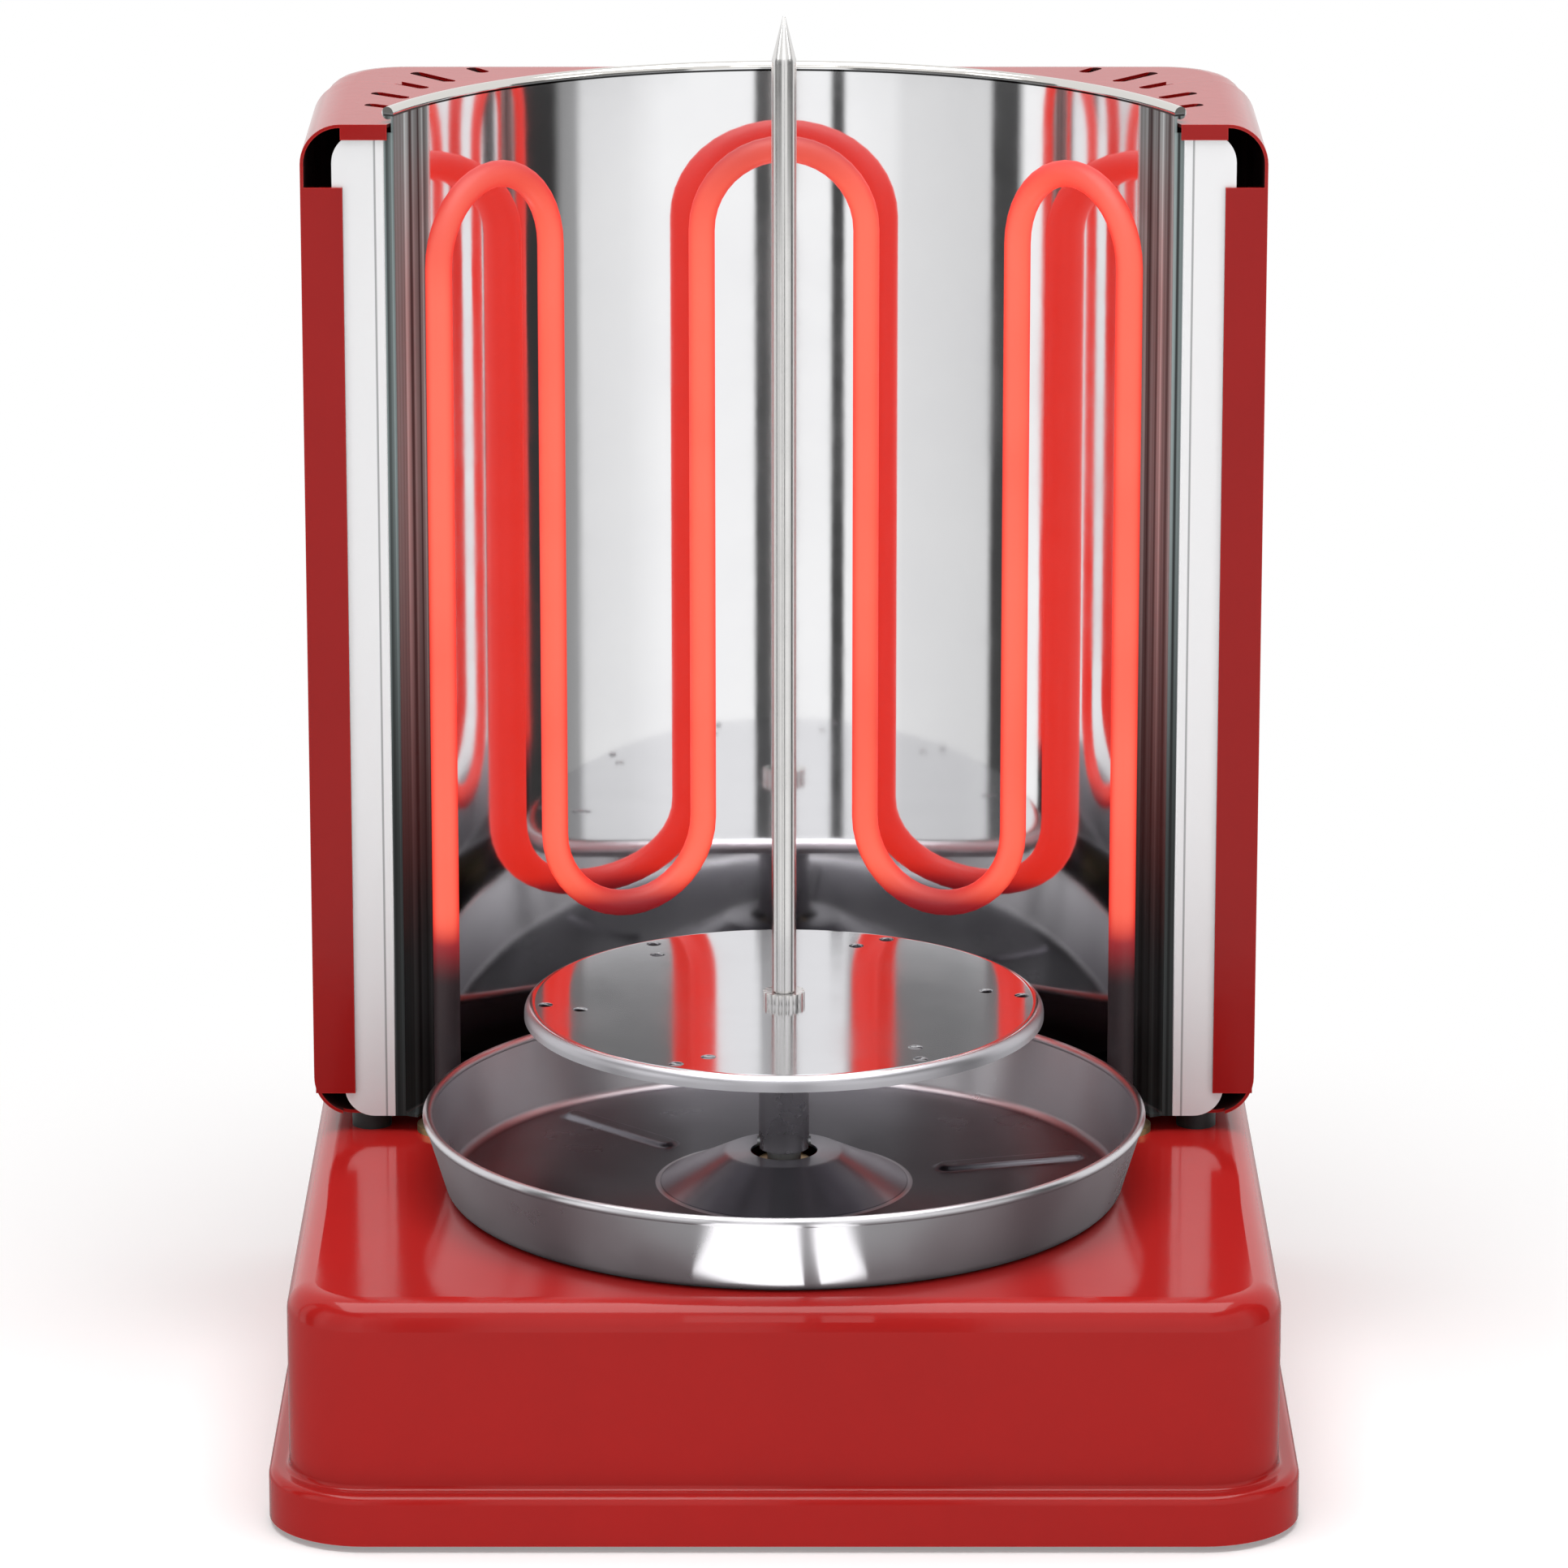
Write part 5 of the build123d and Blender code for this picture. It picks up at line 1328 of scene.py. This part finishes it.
plate = lathe("spun_plate", plate_profile(), 240)
plate_knives = [run_tree("knife_holes", hole_tree, Centre=(spit_x, spit_y, plate_max.z), Count=6,
                         Ring_Radius=radius, First_Angle=radians(angle), Hole_Radius=plate_hole,
                         Height=0.01) for radius, angle in ((inner_ring, 8.9), (outer_ring, 3.9))]
cut(plate, plate_knives)
soften(plate, 0.15 * mm, smooth=40)
dress(plate, plate_steel, "mirror_steel", "spit", "meat_plate")

# %% Hub and rod
hub_round = 0.6 * mm
socket_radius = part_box("drive_shaft")[1].x - spit_x + 0.1 * mm
socket_high = hub_min.z + 36 * mm
pin_slot = 1.5 * mm + 0.25 * mm
pin_slot_high = centre_of("drive_cross_pin").z + 1.6 * mm
hub_profile = [(socket_radius, hub_min.z), (socket_radius, socket_high), (shank_radius, socket_high),
               (shank_radius, hub_max.z)]
hub_profile += arc(hub_radius - hub_round, hub_max.z - hub_round, hub_round, 90, 0, 5)
hub_profile += [(hub_radius, hub_min.z)]
hub = lathe("turned_hub", hub_profile, 96)
cut(hub, [slab("knife_slot", (-0.02, spit_y - pin_slot, hub_min.z - past),
               (0.02, spit_y + pin_slot, pin_slot_high))])
soften(hub, 0.2 * mm)
dress(hub, hub_steel, "hub_steel", "spit", "spit_hub")

taper = 13 * mm
shoulder = collar_max.z + 0.3 * mm
point = 0.4 * mm
taper_low = rod_max.z - taper
rod_profile = [(0, rod_min.z), (shank_radius, rod_min.z), (shank_radius, shoulder), (rod_radius, shoulder),
               (rod_radius, taper_low - 1 * mm), (rod_radius - 0.04 * mm, taper_low),
               (rod_radius - 0.3 * mm, taper_low + 1 * mm), (point, rod_max.z - 0.3 * mm), (0, rod_max.z)]
rod = lathe("pointed_rod", rod_profile, 64, wrap=False)
soften(rod, 0.12 * mm)
dress(rod, spit_steel, "spit_steel", "spit", "spit_rod")

# %% Knurled collar
collar_profile = [(shank_radius, collar_min.z), (collar_radius, collar_min.z), (collar_radius, collar_max.z),
                  (shank_radius, collar_max.z)]
collar = lathe("knurled_collar", collar_profile, 120)
cut(collar, [run_tree("knife_grooves", hole_tree, Centre=(spit_x, spit_y, collar_max.z), Count=18,
                      Ring_Radius=collar_radius, First_Angle=0.0, Hole_Radius=0.6 * mm, Height=0.02)])
soften(collar, 0.12 * mm)
dress(collar, spit_steel, "spit_steel", "spit", "spit_collar")

# %% [markdown]
# ## Everything else
# The fasteners, the feet, the parts of the drive and the switches are shown as the model has them.  Each
# gets the finish that the record names for it.

# %% Finishes on the other nodes
finishes = {material.name: material for material in bpy.data.materials}
for entry in frame["record"]["subparts"]:
    node = frame["nodes"][entry["node"]]
    if node.hide_render:
        continue
    node.data.materials.clear()
    node.data.materials.append(finishes[entry["material_slot"]])
print("nodes shown as they are:", sum(not n.hide_render for n in frame["nodes"].values()))

# %% [markdown]
# ## Floor and surroundings
# The floor keeps the soft shadow near the grill and turns plain white further out.  Polished steel sees a
# greyer floor near the grill, a painted shadow, and, standing on it, a round wall of white, grey and dark
# strips.  The mirror turns each strip of the lower wall into one of its upright bands, and the plate shows
# the upper wall.  A small card in front of the tray gives the tray's wall its bright patches.  Nothing but
# polished surfaces sees walls and card.

# %% Floor
def only_in_steel(piece):
    """Stage piece that nothing but polished surfaces sees."""
    for ray in ("camera", "diffuse", "transmission", "volume_scatter", "shadow"):
        setattr(piece, "visible_" + ray, False)


floor_size = 15
shadow_seen, shadow_lost = 0.22, 0.5          # the camera sees the shadow fade out between these distances
steel_shadow_seen, steel_shadow_lost = 0.15, 0.7              # and polished steel the grey floor, a painted shadow
floor = mesh_object("floor", [(-floor_size, -floor_size, 0), (floor_size, -floor_size, 0),
                              (floor_size, floor_size, 0), (-floor_size, floor_size, 0)], [(0, 1, 2, 3)])
paper, tree = new_material("white_paper")
shade = add(tree, "ShaderNodeBsdfDiffuse", {"Color": (0.88, 0.88, 0.88, 1)}).outputs[0]
lit = add(tree, "ShaderNodeAddShader", {0: shade, 1: glow(tree, 0.18, "ShaderNodeEmission")}).outputs[0]
place = add(tree, "ShaderNodeTexCoord").outputs["Object"]
far = add(tree, "ShaderNodeVectorMath", {0: place}, operation="LENGTH").outputs["Value"]
to_camera = choose(tree, step(tree, far, shadow_seen, shadow_lost), lit,
                   glow(tree, 1.0, "ShaderNodeEmission"))
# painted shadow: polished steel sees the floor grey near the grill, lighter further out
to_steel = choose(tree, step(tree, far, steel_shadow_seen, steel_shadow_lost), glow(tree, 0.35, "ShaderNodeEmission"),
                  glow(tree, 0.9, "ShaderNodeEmission"))
in_steel = add(tree, "ShaderNodeLightPath").outputs["Is Glossy Ray"]
add(tree, "ShaderNodeOutputMaterial", {"Surface": choose(tree, in_steel, to_camera, to_steel)})
floor.data.materials.append(paper)

# %% Card in front of the tray
card_low, card_high = base_top + 1 * mm, base_top + 16 * mm
card_back, card_front = tray_min.y + 6 * mm, tray_min.y - 19 * mm
card_points, card_faces = [], []
for left, right in ((-29 * mm, 6 * mm), (11 * mm, 26 * mm)):
    first = len(card_points)
    card_points += [(left, card_front, card_low), (right, card_front, card_low),
                    (right, card_back, card_low), (left, card_back, card_low),
                    (left, card_front, card_high), (right, card_front, card_high)]
    card_faces += [(first, first + 1, first + 2, first + 3), (first + 1, first, first + 4, first + 5)]
card_data = bpy.data.meshes.new("tray_card")
card_data.from_pydata(card_points, [], card_faces)
card = bpy.data.objects.new("tray_card", card_data)
bpy.context.scene.collection.objects.link(card)
card_paint, tree = new_material("card_light")
back = add(tree, "ShaderNodeNewGeometry").outputs["Backfacing"]
clear = add(tree, "ShaderNodeBsdfTransparent").outputs[0]
card_look = choose(tree, back, glow(tree, 1.9, "ShaderNodeEmission"), clear)
add(tree, "ShaderNodeOutputMaterial", {"Surface": card_look})
card.data.materials.append(card_paint)
only_in_steel(card)
print("card faces:", len(card_data.polygons))

# %% Wall of strips
wall_radius = 0.40
wall_split = 0.30             # what the plate shows comes from above this height
wall_height = 0.50
lower_strips = [(-90, 0.04), (-75, 0.03), (-72, 0.30), (-67.5, 0.34), (-65, 0.80), (-50, 0.86),
                (-38, 1.0), (-9.6, 1.0), (-8.6, 0.07), (-0.8, 0.09), (0.4, 1.0), (14.4, 1.0),
                (15.2, 0.05), (18.4, 0.05), (19.4, 1.0), (34, 0.92), (38, 0.80), (66, 0.72), (68, 0.05),
                (76, 0.05), (79, 1.0), (86, 1.0), (90, 0.04)]
upper_strips = [(-90, 0.16), (-31, 0.20), (-28, 1.0), (-8, 1.0), (-7, 0.5), (-1, 0.5), (0, 1.0),
                (19, 1.0), (22, 0.20), (90, 0.16)]


def make_wall(name, strips, low, high):
    """Part of the round wall whose strips are (angle seen in the mirror, level)."""
    loops = [[(spit_x + wall_radius * sin(radians(a)), spit_y - wall_radius * cos(radians(a)), z)
              for a in range(-90, 91, 3)] for z in (low, high)]
    wall = skin(name, loops, closed=False)
    paint, tree = new_material(name)
    x, y, _ = place_parts(tree)
    turn = math(tree, "ARCTAN2", math(tree, "SUBTRACT", x, spit_x), math(tree, "SUBTRACT", spit_y, y))
    share = math(tree, "MULTIPLY_ADD", turn, 1 / pi, 0.5)
    ramp = add(tree, "ShaderNodeValToRGB", {0: share})
    # the mirror turns left and right round, so a strip given at a positive angle stands on the left
    for k, (angle, level) in enumerate(sorted((-a, v) for a, v in strips)):
        position = (angle + 90) / 180
        stop = ramp.color_ramp.elements[k] if k < 2 else ramp.color_ramp.elements.new(position)
        stop.position = position
        stop.color = (level, level, level, 1)
    light = add(tree, "ShaderNodeEmission", {"Color": ramp.outputs[0]})
    add(tree, "ShaderNodeOutputMaterial", {"Surface": light.outputs[0]})
    wall.data.materials.append(paint)
    only_in_steel(wall)
    print(f"{name}: {len(strips)} levels")


make_wall("lower_wall", lower_strips, 0.001, wall_split)
make_wall("upper_wall", upper_strips, wall_split, wall_height)
